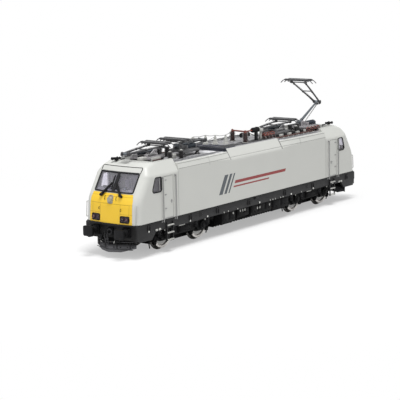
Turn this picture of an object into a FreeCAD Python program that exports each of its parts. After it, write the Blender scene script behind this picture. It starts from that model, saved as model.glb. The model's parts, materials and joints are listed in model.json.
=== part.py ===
import FreeCAD, Part
import functools
import math
import os

# Model electric freight locomotive, H0 gauge (1:87): four axles in two bogies, a cab at each end and
# four single-arm pantographs. Millimetres. X runs along the locomotive and the front end is at -X.
# Y runs across it, Z is up, and the origin is under its middle, level with the wheel flanges' lowest points.

V = FreeCAD.Vector

# ---- driving sizes ---------------------------------------------------------------------------------
BUFFER_LENGTH = 217.2       # over the buffer faces
BODY_WIDTH = 34.2           # over the side walls
SHELL_WALL = 1.2            # thickness of the body shell
FIT = 0.05                  # clearance round a piece that is let into another
GAP = 0.3                   # clearance between pieces that move past each other

TREAD_R = 7.18              # wheel radius at the tread
FLANGE = 1.0                # how far the flange stands out from the tread
BACK_TO_BACK = 14.3         # between the inner faces of two wheels
TYRE_WIDTH = 2.8            # width of a wheel's rim
AXLE_R = 1.25
RUNNING = 0.08              # radial clearance of a shaft in its bore
WHEELBASE = 29.9            # between the two axles of a bogie
OVERHANG = 48.75            # from the buffer faces to the pivot of the nearest bogie

SIDE_HEIGHT = 22.6          # side wall, from the sill to where the roof's slope begins
SHELL_RISE = 0.5            # sill above the underside of the floor plate
DECK_LENGTH = 59.5          # sunken roof deck, from the hood to under the cab roof
DECK_PLATE = 0.6
PLAN_RADIUS = 100.0         # the front seen from above is an arc of this radius
CORNER_RADIUS = 3.8         # rounding between the front and the side walls
BUFFER_Y = 10.05            # buffer centres from the middle
BUFFER_Z = 13.2

PANTO_RISE = 5.5            # axis of a pantograph's lower arm above the roof deck
LOWER_ARM = 21.3            # between the pivots of a lower arm
UPPER_ARM = 23.9            # between the pivots of an upper arm
LOWERED = (1.5, 3.5)        # degrees above level of the lower and the upper arm when folded
RAISED = (28.7, 33.2)       # the same when the head is on the wire
HEAD_WIDTH = 22.0           # pantograph head over its horns
ROD_FOOT = (3.0, -2.0)      # foot of the guide rod from the lower arm's axis, (outwards, up)
ROD_PLAY = 0.17             # radial play of that pin
ROD_TAIL = (1.0, 1.023)     # its upper pin from the knee, (in line with the upper arm, below it)

# ---- sizes that follow from them -----------------------------------------------------------------------
END_X = BUFFER_LENGTH / 2
HALF_WIDTH = BODY_WIDTH / 2
BOGIE_X = END_X - OVERHANG
AXLE = WHEELBASE / 2        # an axle from its bogie's pivot
AXLE_Z = FLANGE + TREAD_R
WHEEL_IN_Y = BACK_TO_BACK / 2
WHEEL_OUT_Y = WHEEL_IN_Y + TYRE_WIDTH
FRAME_X = AXLE + TREAD_R + 2.87     # half length of a bogie

FLOOR_LOW = 2 * AXLE_Z + 0.54   # underside of the floor plate, above the flanges
FLOOR_TOP = FLOOR_LOW + 1.5
SILL_Z = FLOOR_LOW + SHELL_RISE
SKIRT_Z = SILL_Z - 5.1      # lower edge of the sole bars
END_SKIRT_Z = BUFFER_Z - 4.6    # and of their ends below the buffers
CANT_Z = SILL_Z + SIDE_HEIGHT
DECK_Z = CANT_Z + 4.0       # top of the roof decks that carry the pantographs
HOOD_FOOT_Z = CANT_Z + 0.5  # the hood's lower edge
HOOD_EDGE_Z = CANT_Z + 5.7  # where the hood's sloped sides end
HOOD_Z = CANT_Z + 6.0       # top of the hood between the decks
ROOF_Z = CANT_Z + 6.3       # top of the cab roofs

RECESS_X = END_X - 24.6     # outer end of the recess between the cab roof's raised sides
CAB_ROOF_X = END_X - 39.1   # inner end of those raised sides
HOOD_X = RECESS_X - DECK_LENGTH
PANEL_X = HOOD_X + 18.5     # outer end of the sloped panels beside the hood
DECK_WIDE_Y = HALF_WIDTH - 3.3      # half width of a roof deck
DECK_NARROW_Y = HALF_WIDTH - 4.9    # and of its part between the raised sides
PANTO_Z = DECK_Z + PANTO_RISE
PANTO_OUTER_X = RECESS_X - 15.5
PANTO_INNER_X = PANTO_OUTER_X - 20.5

SKIRT_IN_Y = HALF_WIDTH - 1.7
SKIRT_OUT_Y = HALF_WIDTH - 0.5
BEAM_IN_X = END_X - 7.8     # buffer beam
BEAM_OUT_X = END_X - 6.2
DOOR_X = (END_X - 36.2, END_X - 25.9)   # handrails at the two sides of a cab door
STEP_X = (END_X - 34.4, END_X - 29.0)

# ---- outlines of the body: (across or along, up, radius of the bend there) --------------------------------
KINK = (END_X - 6.0, SILL_Z + 11.6)         # the front leans back from here
SCREEN_TOP = (END_X - 13.9, SILL_Z + 24.2)
BROW = (END_X - 16.2, SILL_Z + 27.2)
FRONT = [(END_X - 3.75, 0.0, 0.0), KINK + (14.0,), SCREEN_TOP + (7.0,), BROW + (4.0,),
         (BROW[0] - 12.4, BROW[1] + 4.3, 0.0)]
SLOPED = [(HALF_WIDTH, 0.0, 0.0), (HALF_WIDTH, CANT_Z, 3.0), (HALF_WIDTH - 6.1, CANT_Z + 10.34, 0.0)]
UPRIGHT = [(HALF_WIDTH, 0.0, 0.0), (HALF_WIDTH, CANT_Z + 1.2, 2.0), (HALF_WIDTH - 1.02, DECK_Z + 0.2, 0.0)]


# ---- shapes ------------------------------------------------------------------------------------------
def box(x0, x1, y0, y1, z0, z1):
    return Part.makeBox(x1 - x0, y1 - y0, z1 - z0, V(x0, y0, z0))


def prism(points, direction):
    """A flat closed outline, pushed along a direction."""
    wire = Part.makePolygon([V(*p) for p in points] + [V(*points[0])])
    return Part.Face(wire).extrude(V(*direction))


def prism_y(outline, y0, y1):
    """An outline in (x, z), from y0 to y1."""
    return prism([(x, y0, z) for x, z in outline], (0, y1 - y0, 0))


def prism_x(outline, x0, x1):
    """An outline in (y, z), from x0 to x1."""
    return prism([(x0, y, z) for y, z in outline], (x1 - x0, 0, 0))


def prism_z(outline, z0, z1):
    """An outline in (x, y), from z0 to z1."""
    return prism([(x, y, z0) for x, y in outline], (0, 0, z1 - z0))


def rod(start, end, radius, end_radius=None):
    """A round bar between two points, tapered where a second radius is given."""
    a, b = V(*start), V(*end)
    if end_radius is None or end_radius == radius:
        return Part.makeCylinder(radius, (b - a).Length, a, b - a)
    return Part.makeCone(radius, end_radius, (b - a).Length, a, b - a)


def bent_rod(points, radius):
    """Round bars through the points, with a ball at each bend."""
    bars = [rod(a, b, radius) for a, b in zip(points, points[1:])]
    balls = [Part.makeSphere(radius, V(*p)) for p in points[1:-1]]
    return fuse(bars + balls)


def disc(x, y0, y1, z, radius):
    """A round bar across the locomotive."""
    return Part.makeCylinder(radius, y1 - y0, V(x, y0, z), V(0, 1, 0))


def fuse(shapes):
    whole = shapes[0]
    if len(shapes) > 1:
        whole = shapes[0].multiFuse(shapes[1:])
    return whole.removeSplitter()


def cut(shape, tools):
    for tool in tools:
        shape = shape.cut(tool)
    return shape


def group(shapes):
    return Part.makeCompound(shapes)


def mirrored(shape, direction):
    return shape.mirror(V(0, 0, 0), V(*direction))


def two_sides(shape):
    return [shape, mirrored(shape, (0, 1, 0))]


def turned(shape):
    """The same piece at the other end: half a turn about the vertical axis."""
    copy = shape.copy()
    copy.rotate(V(0, 0, 0), V(0, 0, 1), 180)
    return copy


def two_ends(shape):
    return [shape, turned(shape)]


def four_corners(shape):
    """The piece at both sides of both ends, mirrored."""
    return [s for side in two_sides(shape) for s in (side, mirrored(side, (1, 0, 0)))]


def rounded(shape, axis, radius):
    """The shape with its edges along one axis (0, 1 or 2) rounded."""
    edges = [e for e in shape.Edges if abs(e.tangentAt(e.FirstParameter)[axis]) > 0.9]
    return shape.makeFillet(radius, edges)


def save(name, shape):
    shape.exportStep("parts/%s.step" % name)


# ---- body shell ------------------------------------------------------------------------------------------
def meet(first, second):
    """Where two lines cross; a line is a point and a direction in a plane."""
    (ax, az), (dx, dz) = first
    (bx, bz), (ex, ez) = second
    along = ((bx - ax) * ez - (bz - az) * ex) / (dx * ez - dz * ex)
    return (ax + dx * along, az + dz * along)


def moved_in(outline, inset):
    """An open outline of corners and radii that runs upwards, moved inwards by inset."""
    lines = []
    for (ax, az, _), (bx, bz, _) in zip(outline, outline[1:]):
        length = math.hypot(bx - ax, bz - az)
        dx, dz = (bx - ax) / length, (bz - az) / length
        lines.append(((ax - dz * inset, az + dx * inset), (dx, dz)))
    level_start = ((0.0, outline[0][1]), (1.0, 0.0))
    level_end = ((0.0, outline[-1][1]), (1.0, 0.0))
    corners = [meet(a, b) for a, b in zip([level_start] + lines, lines + [level_end])]
    return [(x, z, max(point[2] - inset, 0.0)) for (x, z), point in zip(corners, outline)]


def bent_edges(corners):
    """Straight edges through (point, radius) corners, joined by tangent arcs."""
    edges = []
    start = corners[0][0]
    for (before, _), (point, radius), (after, _) in zip(corners, corners[1:], corners[2:]):
        back, on = (before - point).normalize(), (after - point).normalize()
        middle = (back + on).normalize()
        half = back.getAngle(on) / 2
        if radius > 0.05:
            run = radius / math.tan(half)
            first, last = point + back * run, point + on * run
            crest = point + middle * (radius / math.sin(half) - radius)
            edges += [Part.makeLine(start, first), Part.Arc(first, crest, last).toShape()]
            start = last
        else:
            edges.append(Part.makeLine(start, point))
            start = point
    edges.append(Part.makeLine(start, corners[-1][0]))
    return edges


def closed_face(edges):
    return Part.Face(Part.Wire(Part.__sortEdges__(edges)))


def cross_section(outline, inset, x0, x1):
    """A half outline in (y, z) and its mirror image, closed and pushed along X."""
    half = [(V(x0, y, z), r) for y, z, r in moved_in(outline, inset)]
    edges = bent_edges(half) + bent_edges([(V(p.x, -p.y, p.z), r) for p, r in half])
    for corner, _ in (half[0], half[-1]):
        edges.append(Part.makeLine(corner, V(corner.x, -corner.y, corner.z)))
    return closed_face(edges).extrude(V(x1 - x0, 0, 0))


def nose(inset):
    """All that lies behind the curved front: its outline turned about an upright axis far behind it."""
    axis_x = FRONT[0][0] - PLAN_RADIUS
    corners = [(V(2 * axis_x - x, 0, z), r) for x, z, r in moved_in(FRONT, inset)]
    low, high = corners[0][0], corners[-1][0]
    foot, top = V(axis_x, 0, low.z), V(axis_x, 0, high.z)
    edges = bent_edges(corners) + [Part.makeLine(a, b) for a, b in ((high, top), (top, foot), (foot, low))]
    return closed_face(edges).revolve(V(axis_x, 0, 0), V(0, 0, 1), 360)


def corner_edges(shape):
    """The edges where the front meets the side walls and the roof's slopes."""
    found = []
    for edge in shape.Edges:
        middle = edge.valueAt((edge.FirstParameter + edge.LastParameter) / 2)
        faces = [f for f in shape.Faces if any(e.isSame(edge) for e in f.Edges)]
        if middle.x < CAB_ROOF_X or edge.BoundBox.ZLength < 0.02 or len(faces) != 2:
            continue
        normals = [f.normalAt(*f.Surface.parameter(middle)) for f in faces]
        if abs(middle.y) > HALF_WIDTH / 2 and normals[0].getAngle(normals[1]) > 0.2:
            found.append(edge)
    return found


def panel_cutter(inset):
    """What is cut from the upright side to leave the sloped panels beside the hood."""
    outside = HALF_WIDTH + 2
    far = [(HALF_WIDTH - 0.1, CANT_Z + 1.3), (HALF_WIDTH - 1.0, DECK_Z)]
    near = [(HALF_WIDTH - 0.2, CANT_Z + 0.4), (HALF_WIDTH - 2.3, DECK_Z)]
    wires = []
    for x, slope in ((PANEL_X, far), (HOOD_X - inset, near)):
        (y0, z0), (y1, z1) = [(y - inset, z) for y, z in slope]
        top = DECK_Z + 3
        y2 = y1 - (top - z1) * (y0 - y1) / (z1 - z0)
        points = [(outside, z0), (y0, z0), (y2, top), (outside, top)]
        wires.append(Part.makePolygon([V(x, y, z) for y, z in points + points[:1]]))
    return Part.makeLoft(wires, True, True)


@functools.lru_cache(maxsize=None)
def body_form(inset, floor_z):
    """The outer form of the locomotive's body, with every face moved inwards by inset."""
    half = nose(inset).common(cross_section(SLOPED, inset, 0.0, END_X + 1))
    half = half.makeFillet(CORNER_RADIUS - inset, corner_edges(half))
    half = half.common(box(0, END_X + 1, -HALF_WIDTH, HALF_WIDTH, floor_z, ROOF_Z - inset))
    room = cross_section(UPRIGHT, inset, HOOD_X + inset, CAB_ROOF_X - inset)
    room = cut(room, two_sides(panel_cutter(inset)))
    room = room.common(box(0, END_X, -HALF_WIDTH, HALF_WIDTH, floor_z, DECK_Z + 0.2))
    return fuse(two_ends(half) + two_ends(room))


WINDOW_ROUND = 1.3
WINDOW_X = (END_X - 25.6, END_X - 17.8)     # side window, at its lower edge
WINDOW_Z = (CANT_Z - 8.4, CANT_Z - 0.8)
SCREEN_Y = HALF_WIDTH - 4.8                 # half width of the windshield
SCREEN_Z = (SILL_Z + 15.1, SILL_Z + 24.2)
GLASS_IN = 0.15             # glass lies this far behind the shell's outer and inner faces


def window_cutter(inset):
    """The side window's outline through both walls, with its corners rounded."""
    (x0, x1), (z0, z1) = WINDOW_X, WINDOW_Z
    lean = [(x0, z0), (x1, z0), (x1 - 1.0, z0 + 3.0), (x1 - 2.6, z1), (x0, z1)]
    start = -HALF_WIDTH - 1
    face = Part.Face(Part.makePolygon([V(x, start, z) for x, z in lean + lean[:1]]))
    if inset:
        face = face.makeOffset2D(-inset)
    return rounded(face.extrude(V(0, BODY_WIDTH + 2, 0)), 1, WINDOW_ROUND - inset)


def through_front(y0, y1, z0, z1):
    """A rectangle pushed lengthways through the front."""
    return box(BROW[0] - 6.0, END_X, y0, y1, z0, z1)


def screen_cutter(inset):
    y = SCREEN_Y - inset
    return through_front(-y, y, SCREEN_Z[0] + inset, SCREEN_Z[1] - inset)


MASK_DEEP = 0.8
# half width of the coloured front panel at the sill, at the kink and at its top
MASK_Y = (HALF_WIDTH - 3.4, HALF_WIDTH - 3.6, HALF_WIDTH - 4.3)


def mask_cutter(inset):
    """The coloured front panel's outline: as wide as the flat front, up to the windshield."""
    low_y, kink_y, top_y = [y - inset for y in MASK_Y]
    top_z = SCREEN_Z[0] - 0.5 - inset
    low_z = SILL_Z - 1
    outline = [(-low_y, low_z), (low_y, low_z), (kink_y, KINK[1]), (top_y, top_z), (-top_y, top_z),
               (-kink_y, KINK[1])]
    return prism_x(outline, BROW[0] - 6.0, END_X)


LAMP_Y = (HALF_WIDTH - 10.5, HALF_WIDTH - 5.1)      # the two lamps of a cluster lie in one dark housing
LAMP_Z = (SILL_Z + 0.8, SILL_Z + 4.0)


def lamp_cutter(side, inset=0.0):
    y0, y1 = sorted((side * (LAMP_Y[0] + inset), side * (LAMP_Y[1] - inset)))
    return through_front(y0, y1, LAMP_Z[0] + inset, LAMP_Z[1] - inset)


def recess(end, inset, z0, z1):
    """The space of one sunken deck: wide beside the hood, narrower between the cab roof's sides."""
    wide, narrow = DECK_WIDE_Y - inset, DECK_NARROW_Y - inset
    step = CAB_ROOF_X - inset
    near, far = HOOD_X + inset, RECESS_X - inset
    outline = [(near, -wide), (step, -wide), (step, -narrow), (far, -narrow), (far, narrow), (step, narrow),
               (step, wide), (near, wide)]
    space = prism_z(outline, z0, z1)
    return space if end > 0 else turned(space)


GROOVE = 0.3                # width and depth of the gap round a cab door


def door_grooves():
    """The gaps round the four cab doors."""
    x0, x1 = DOOR_X[0] + 1.5, DOOR_X[1] - 1.2
    top = CANT_Z - 1.0
    out = HALF_WIDTH + 1
    y = HALF_WIDTH - GROOVE
    around = [box(x0, x0 + GROOVE, y, out, SILL_Z - 1, top), box(x1 - GROOVE, x1, y, out, SILL_Z - 1, top),
              box(x0, x1, y, out, top - GROOVE, top)]
    return four_corners(group(around))


def make_body():
    outer = body_form(0.0, SILL_Z)
    glass = body_form(GLASS_IN, SILL_Z).cut(body_form(SHELL_WALL - GLASS_IN, SILL_Z - 1))
    deck_floor = DECK_Z - DECK_PLATE
    top = ROOF_Z + 1
    shell = outer
    cavity = body_form(SHELL_WALL, SILL_Z - 1)
    for end in (1, -1):
        x0, x1 = sorted((end * HOOD_X, end * CAB_ROOF_X))
        shell = shell.cut(box(x0, x1, -HALF_WIDTH, HALF_WIDTH, DECK_Z + 0.2, top))
        shell = shell.cut(recess(end, 0.0, deck_floor, top))
        cavity = cavity.cut(box(x0 - SHELL_WALL, x1 + SHELL_WALL, -HALF_WIDTH, HALF_WIDTH,
                                deck_floor - SHELL_WALL, top))
        cavity = cavity.cut(recess(end, -SHELL_WALL, deck_floor - SHELL_WALL, top))
    shell = shell.cut(cavity)
    shell = shell.cut(box(-HOOD_X, HOOD_X, -HALF_WIDTH, HALF_WIDTH, HOOD_FOOT_Z, top))
    lamps = [lamp_cutter(1), lamp_cutter(-1)]
    mask_seat = mask_cutter(0.0).common(outer).cut(body_form(MASK_DEEP, SILL_Z))
    mask = mask_cutter(FIT).common(outer).cut(body_form(MASK_DEEP - FIT, SILL_Z))
    openings = [mask_seat, screen_cutter(0.0), window_cutter(0.0)] + lamps
    shell = cut(shell, openings + [turned(opening) for opening in openings] + door_grooves())
    panes = [window_cutter(FIT).common(glass), screen_cutter(FIT).common(glass)]
    save("body_shell", shell)
    save("front_masks", group(two_ends(cut(mask, lamps))))
    save("side_windows", group([s for piece in two_ends(panes[0]) for s in piece.Solids]))
    save("windshields", group(two_ends(panes[1])))


def make_roof():
    save("roof_decks", group([recess(end, FIT, DECK_Z - DECK_PLATE, DECK_Z) for end in (1, -1)]))
    span = box(-HOOD_X + FIT, HOOD_X - FIT, -HALF_WIDTH, HALF_WIDTH, HOOD_FOOT_Z, HOOD_EDGE_Z)
    hood = body_form(0.0, SILL_Z).common(span)
    room = box(-HOOD_X + SHELL_WALL, HOOD_X - SHELL_WALL, -HALF_WIDTH, HALF_WIDTH, HOOD_FOOT_Z - 1,
               HOOD_EDGE_Z - SHELL_WALL)
    hood = hood.cut(body_form(SHELL_WALL, SILL_Z).common(room))
    save("roof_hood", hood)
    low_y, high_y = HALF_WIDTH - 3.4, HALF_WIDTH - 4.6
    lid = [(-low_y, HOOD_EDGE_Z), (low_y, HOOD_EDGE_Z), (high_y, HOOD_Z), (-high_y, HOOD_Z)]
    plate = prism_x(lid, -HOOD_X + 0.4, HOOD_X - 0.4)
    pitch = (HOOD_X - 4.5) / 10
    louvres = []
    for i in range(-9, 10):
        louvres += two_sides(box(i * pitch - 0.5, i * pitch + 0.5, 7.0, 12.0, HOOD_Z - 0.2, HOOD_Z + 1))
    save("hood_top", cut(plate, louvres))


# ---- underframe ------------------------------------------------------------------------------------------
PIVOT_R = 2.5
LIP = 0.4                   # the frame stands out this far beyond the front of the shell


def make_frame():
    skirt_end = BEAM_OUT_X - 1.2
    skirt_outline = [(0, SKIRT_Z), (END_X - 21.0, SKIRT_Z), (END_X - 17.8, END_SKIRT_Z),
                     (skirt_end, END_SKIRT_Z), (skirt_end, SILL_Z), (0, SILL_Z)]
    pieces = four_corners(prism_y(skirt_outline, SKIRT_IN_Y, SKIRT_OUT_Y))
    floor_end = END_X - 12.6
    inner_half = HALF_WIDTH - SHELL_WALL - FIT
    pieces.append(box(-floor_end, floor_end, -inner_half, inner_half, FLOOR_LOW, FLOOR_TOP))
    lip_z = FLOOR_LOW - 0.6
    lip = body_form(-LIP, lip_z).common(box(floor_end, END_X, -SKIRT_OUT_Y, SKIRT_OUT_Y, lip_z, SILL_Z))
    beam = box(BEAM_IN_X, BEAM_OUT_X, -SKIRT_OUT_Y, SKIRT_OUT_Y, BUFFER_Z - 3.8, SILL_Z - 0.5)
    corner = box(BEAM_IN_X - 1.0, BEAM_OUT_X, SKIRT_IN_Y - 1.0, SKIRT_OUT_Y - 0.8, END_SKIRT_Z, SILL_Z)
    pieces += two_ends(fuse([lip, beam] + two_sides(corner)))
    frame = fuse(pieces)
    hole = PIVOT_R + RUNNING
    pivots = [rod((x, 0, FLOOR_LOW - 5), (x, 0, FLOOR_TOP + 5), hole) for x in (-BOGIE_X, BOGIE_X)]
    save("chassis_frame", cut(frame, pivots))


def rounded_plate(x0, x1, width, height, radius):
    """An upright plate with rounded corners, across the locomotive."""
    return rounded(box(x0, x1, -width / 2, width / 2, -height / 2, height / 2), 0, radius)


def make_buffers():
    parts = [
        rounded_plate(END_X - 1.0, END_X, 6.2, 5.2, 0.9),
        rod((END_X - 2.4, 0, 0), (END_X - 1.0, 0, 0), 1.3, 2.0),
        rod((BEAM_OUT_X + 1.2, 0, 0), (END_X - 2.4, 0, 0), 1.3),
        rod((BEAM_OUT_X + 0.6, 0, 0), (END_X - 3.4, 0, 0), 1.9),
        rounded_plate(BEAM_OUT_X, BEAM_OUT_X + 0.6, 5.2, 4.6, 0.5),
    ]
    buffer = fuse(parts)
    buffer.translate(V(0, BUFFER_Y, BUFFER_Z))
    save("buffers", group([s for side in two_sides(buffer) for s in two_ends(side)]))


PLOUGH_SWEEP = 0.4435       # how far the blade runs back for each mm it runs sideways


def make_ploughs():
    """A V of two raked blades with a shelf that bolts under the buffer beam."""
    half = HALF_WIDTH - 4.7
    tip = END_X - 4.2
    sweep = tip - PLOUGH_SWEEP * half
    thick = 0.9
    low, high = 3.2, BUFFER_Z - 4.2
    plan = [(tip, 0), (sweep, half), (sweep - thick, half), (tip - thick * 1.3, 0), (sweep - thick, -half),
            (sweep, -half)]
    blades = prism_z(plan, low, high)
    wide = half + 1
    rise = prism_x([(6.0, low), (wide, low + 2), (wide, 0), (-wide, 0), (-wide, low + 2), (-6.0, low)],
                   sweep - 8, END_X)
    shelf_plan = [(tip - 1.0, 0), (sweep, half), (sweep - 2.5, half), (sweep - 2.5, -half), (sweep, -half)]
    shelf = prism_z(shelf_plan, high, high + 0.9)
    stays = [box(BEAM_IN_X - 1.2, BEAM_OUT_X - 1.0, y - 0.8, y + 0.8, high, high + 0.4) for y in (-8, 0, 8)]
    beam_room = box(BEAM_IN_X - 0.02, BEAM_OUT_X, -HALF_WIDTH, HALF_WIDTH, high + 0.4, SILL_Z)
    plough = fuse([fuse([blades.cut(rise), shelf]).cut(beam_room)] + stays)
    lip = [(tip + 0.9, 0), (sweep + 0.9, half), (sweep - 0.6, half), (tip - 0.6, 0), (sweep - 0.6, -half),
           (sweep + 0.9, -half)]
    toe = prism_z(lip, low, low + 1).cut(rise)
    save("snow_ploughs", group(two_ends(fuse([plough, toe]))))


def make_couplings():
    """Draw hook with its screw link, and a brake hose at each side of it."""
    x, z = BEAM_OUT_X, BUFFER_Z
    guide = box(x, x + 1.0, -1.9, 1.9, z - 1.7, z + 1.7)
    shank = box(x + 1.0, x + 3.0, -0.5, 0.5, z - 0.6, z + 0.6)
    tip = [(2.4, -0.6), (4.4, -0.9), (5.0, 0.2), (4.6, 1.3), (4.1, 1.1), (4.2, 0.3), (3.6, 0.0), (2.4, 0.6)]
    hook = fuse([guide, shank, prism_y([(x + dx, z + dz) for dx, dz in tip], -0.5, 0.5)])
    run = [(0.0, 0.0, -1.6), (1.6, 0.0, -1.6), (2.4, 0.2, -2.8), (2.3, 0.3, -4.6), (1.5, -0.4, -5.6),
           (1.0, -1.2, -5.3)]
    y = 4.2
    hose = bent_rod([(x + dx, y + dy, z + dz) for dx, dy, dz in run], 0.42)
    cock = box(x, x + 0.9, y - 0.6, y + 0.6, z - 2.2, z - 1.0)
    hoses = two_sides(fuse([hose, cock]))
    save("couplings", group([s for p in [hook] + hoses for s in two_ends(p)]))


def make_underfloor():
    """The transformer's tank between the bogies, with equipment boxes hung beside it."""
    half, bevel = 9.6, 1.6
    low = 3.8
    end = BOGIE_X - FRAME_X - 4.85
    section = [(-half, low + bevel), (-half + bevel, low), (half - bevel, low), (half, low + bevel),
               (half, FLOOR_LOW), (-half, FLOOR_LOW)]
    tank = prism_x(section, -end, end)
    ribs = [box(f * end - 0.4, f * end + 0.4, -half - 0.5, half + 0.5, low + 1.8, low + 7.2)
            for f in (-0.87, -0.6, -0.33, 0.33, 0.6, 0.87)]
    save("transformer_tank", fuse([tank] + ribs))
    boxes = []
    # first and last x as parts of the tank's half length, and lower z, of the boxes at one side
    table = [(-1.08, -0.545, 6.2), (-0.513, 0.153, 6.6), (0.213, 0.567, 7.4), (0.633, 1.033, 6.2)]
    for first, last, z0 in table:
        piece = box(first * end, last * end, half + 0.8, SKIRT_IN_Y, z0, FLOOR_LOW)
        low_edges = [e for e in piece.Edges if e.BoundBox.ZMax < z0 + 0.01]
        outer_edges = [e for e in low_edges if e.BoundBox.YMin > SKIRT_IN_Y - 0.01]
        boxes += two_ends(piece.makeFillet(1.2, outer_edges))
    save("underfloor_boxes", group(boxes))


def make_steps():
    """Under each cab door: two stringers from the sole bar and three treads."""
    x0, x1 = STEP_X
    y0, y1 = SKIRT_OUT_Y, HALF_WIDTH + 0.2
    low = END_SKIRT_Z - 2.7
    one = [box(x, x + 0.6, y0, y0 + 0.5, low, SILL_Z - 1.8) for x in (x0, x1 - 0.6)]
    for z in (SKIRT_Z + 1.3, SKIRT_Z - 2.5, low + 0.3):
        one.append(box(x0, x1, y0 - 0.6 if z < SKIRT_Z else y0, y1, z, z + 0.45))
    save("entry_steps", group(four_corners(fuse(one))))


def make_rails():
    """Upright handrails beside the cab doors, and the rails at the corners of the front."""
    stand_off = 0.75
    radius = 0.26
    y = HALF_WIDTH + stand_off
    low, high = SILL_Z - 1.2, CANT_Z - 1.2
    rails = []
    for x in DOOR_X:
        bar = [rod((x, y, low), (x, y, high), radius)]
        for z in (low + 0.3, high - 0.3):
            foot = SKIRT_OUT_Y if z < SILL_Z else HALF_WIDTH
            bar.append(rod((x, foot, z), (x, y, z), radius * 0.85))
        rails += four_corners(fuse(bar))
    save("door_handrails", group(rails))
    lean = math.radians(38)
    bend_x, bend_y = END_X - 6.1 - CORNER_RADIUS, HALF_WIDTH - CORNER_RADIUS
    inner, outer = CORNER_RADIUS - 0.5, CORNER_RADIUS + 0.7
    low, high, back = SILL_Z + 1.8, SILL_Z + 9.4, 0.6
    corner = []
    for side in (1, -1):
        (ix, iy), (ox, oy) = [(bend_x + r * math.cos(lean), side * (bend_y + r * math.sin(lean)))
                              for r in (inner, outer)]
        bar = bent_rod([(ix, iy, low), (ox, oy, low), (ox - back, oy, high), (ix - back, iy, high)], 0.22)
        corner.append(bar.cut(body_form(0.0, SILL_Z)))
    save("front_handrails", group([s for p in corner for s in two_ends(p)]))


def on_screen(y, z, off):
    """A point at a height on the raked front, moved off it."""
    run = V(SCREEN_TOP[0] - KINK[0], 0, SCREEN_TOP[1] - KINK[1])
    normal = V(run.z, 0, -run.x).normalize()
    behind = PLAN_RADIUS - math.sqrt(PLAN_RADIUS ** 2 - y ** 2)
    x = KINK[0] + run.x * (z - KINK[1]) / run.z - behind
    point = V(x, y, z) + normal * off
    return (point.x, point.y, point.z)


def make_front_fittings():
    """Lamp clusters, the upper lamp and the wipers."""
    form = body_form(0.0, SILL_Z)
    sunk = body_form(0.3, SILL_Z).cut(body_form(SHELL_WALL, SILL_Z))
    middle_y, middle_z = sum(LAMP_Y) / 2, sum(LAMP_Z) / 2
    lamps = []
    for side in (1, -1):
        housing = lamp_cutter(side, FIT).common(sunk)
        lenses = [rod((END_X - 7.0, side * y, middle_z), (END_X - 5.3, side * y, middle_z), 0.95)
                  for y in (middle_y - 1.3, middle_y + 1.3)]
        lamps.append(fuse([housing] + lenses))
    x, z = KINK[0], KINK[1] + 0.2
    upper = [rod((x - 1.6, 0, z), (x + 0.8, 0, z), 1.25), box(x - 1.2, x + 0.3, -1.6, 1.6, z - 1.8, z)]
    lamps.append(fuse(upper).cut(form))
    save("headlamps", group([s for p in lamps for s in two_ends(p)]))
    foot_y, foot_z = 6.4, SCREEN_Z[0] - 1.8
    wipers = []
    for side in (1, -1):
        foot = on_screen(side * foot_y, foot_z, 0.8)
        arm = rod(foot, on_screen(side * 1.6, foot_z + 5.4, 0.8), 0.34)
        boss = rod(on_screen(side * foot_y, foot_z, -0.5), on_screen(side * foot_y, foot_z, 1.1), 0.6)
        blade = rod(on_screen(side * 1.2, foot_z + 2.8, 0.5), on_screen(side * 1.5, foot_z + 9.0, 0.5), 0.27)
        wipers.append(fuse([arm, boss, blade]).cut(form))
    save("wipers", group([s for p in wipers for s in two_ends(p)]))


def make_cabs():
    """Desk, seat and rear wall of each cab, which show through the windows."""
    inner = body_form(SHELL_WALL + GAP, SILL_Z)
    floor = SILL_Z + 8.6
    table = floor + 1.0
    wall_x, end_x = CAB_ROOF_X + 0.5, END_X - 7.6
    wall = box(wall_x, wall_x + 1.0, -HALF_WIDTH, HALF_WIDTH, FLOOR_TOP, CANT_Z + 2.0)
    deck = box(wall_x, end_x, -HALF_WIDTH, HALF_WIDTH, floor, table)
    desk_x = end_x - 9.0
    desk_side = [(desk_x, table), (desk_x, table + 4.8), (desk_x + 2.5, table + 6.0),
                 (end_x - 2.0, table + 4.4), (end_x, table + 3.0), (end_x, table)]
    desk = prism_y(desk_side, -HALF_WIDTH, HALF_WIDTH)
    seat_x = desk_x - 9.0
    seat = fuse([box(seat_x, seat_x + 4.0, -6.6, -2.6, table, table + 3.2),
                 box(seat_x - 1.0, seat_x, -6.6, -2.6, table, table + 9.0)])
    cab = fuse([wall, deck, desk, seat]).common(inner)
    save("cab_interiors", group(two_ends(cut(cab, [lamp_cutter(1), lamp_cutter(-1)]))))


def insulator(x, y, z0, z1, radius):
    """A post insulator: a thin core with ribs along it."""
    core = rod((x, y, z0), (x, y, z1), radius * 0.6)
    ribs = []
    pitch = 1.0
    count = int((z1 - z0 - 0.4) / pitch)
    for i in range(count):
        z = z0 + 0.5 + pitch * i
        ribs.append(rod((x, y, z), (x, y, z + 0.5), radius, radius * 0.75))
    return fuse([core] + ribs)


POST_HEIGHT = 5.4           # insulators under the busbar across the hood
NEAR_POST = (-1.0, -9.9)
FAR_POST = (0.4, -0.2)
BREAKER_X = (5.0, 11.4)


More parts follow.
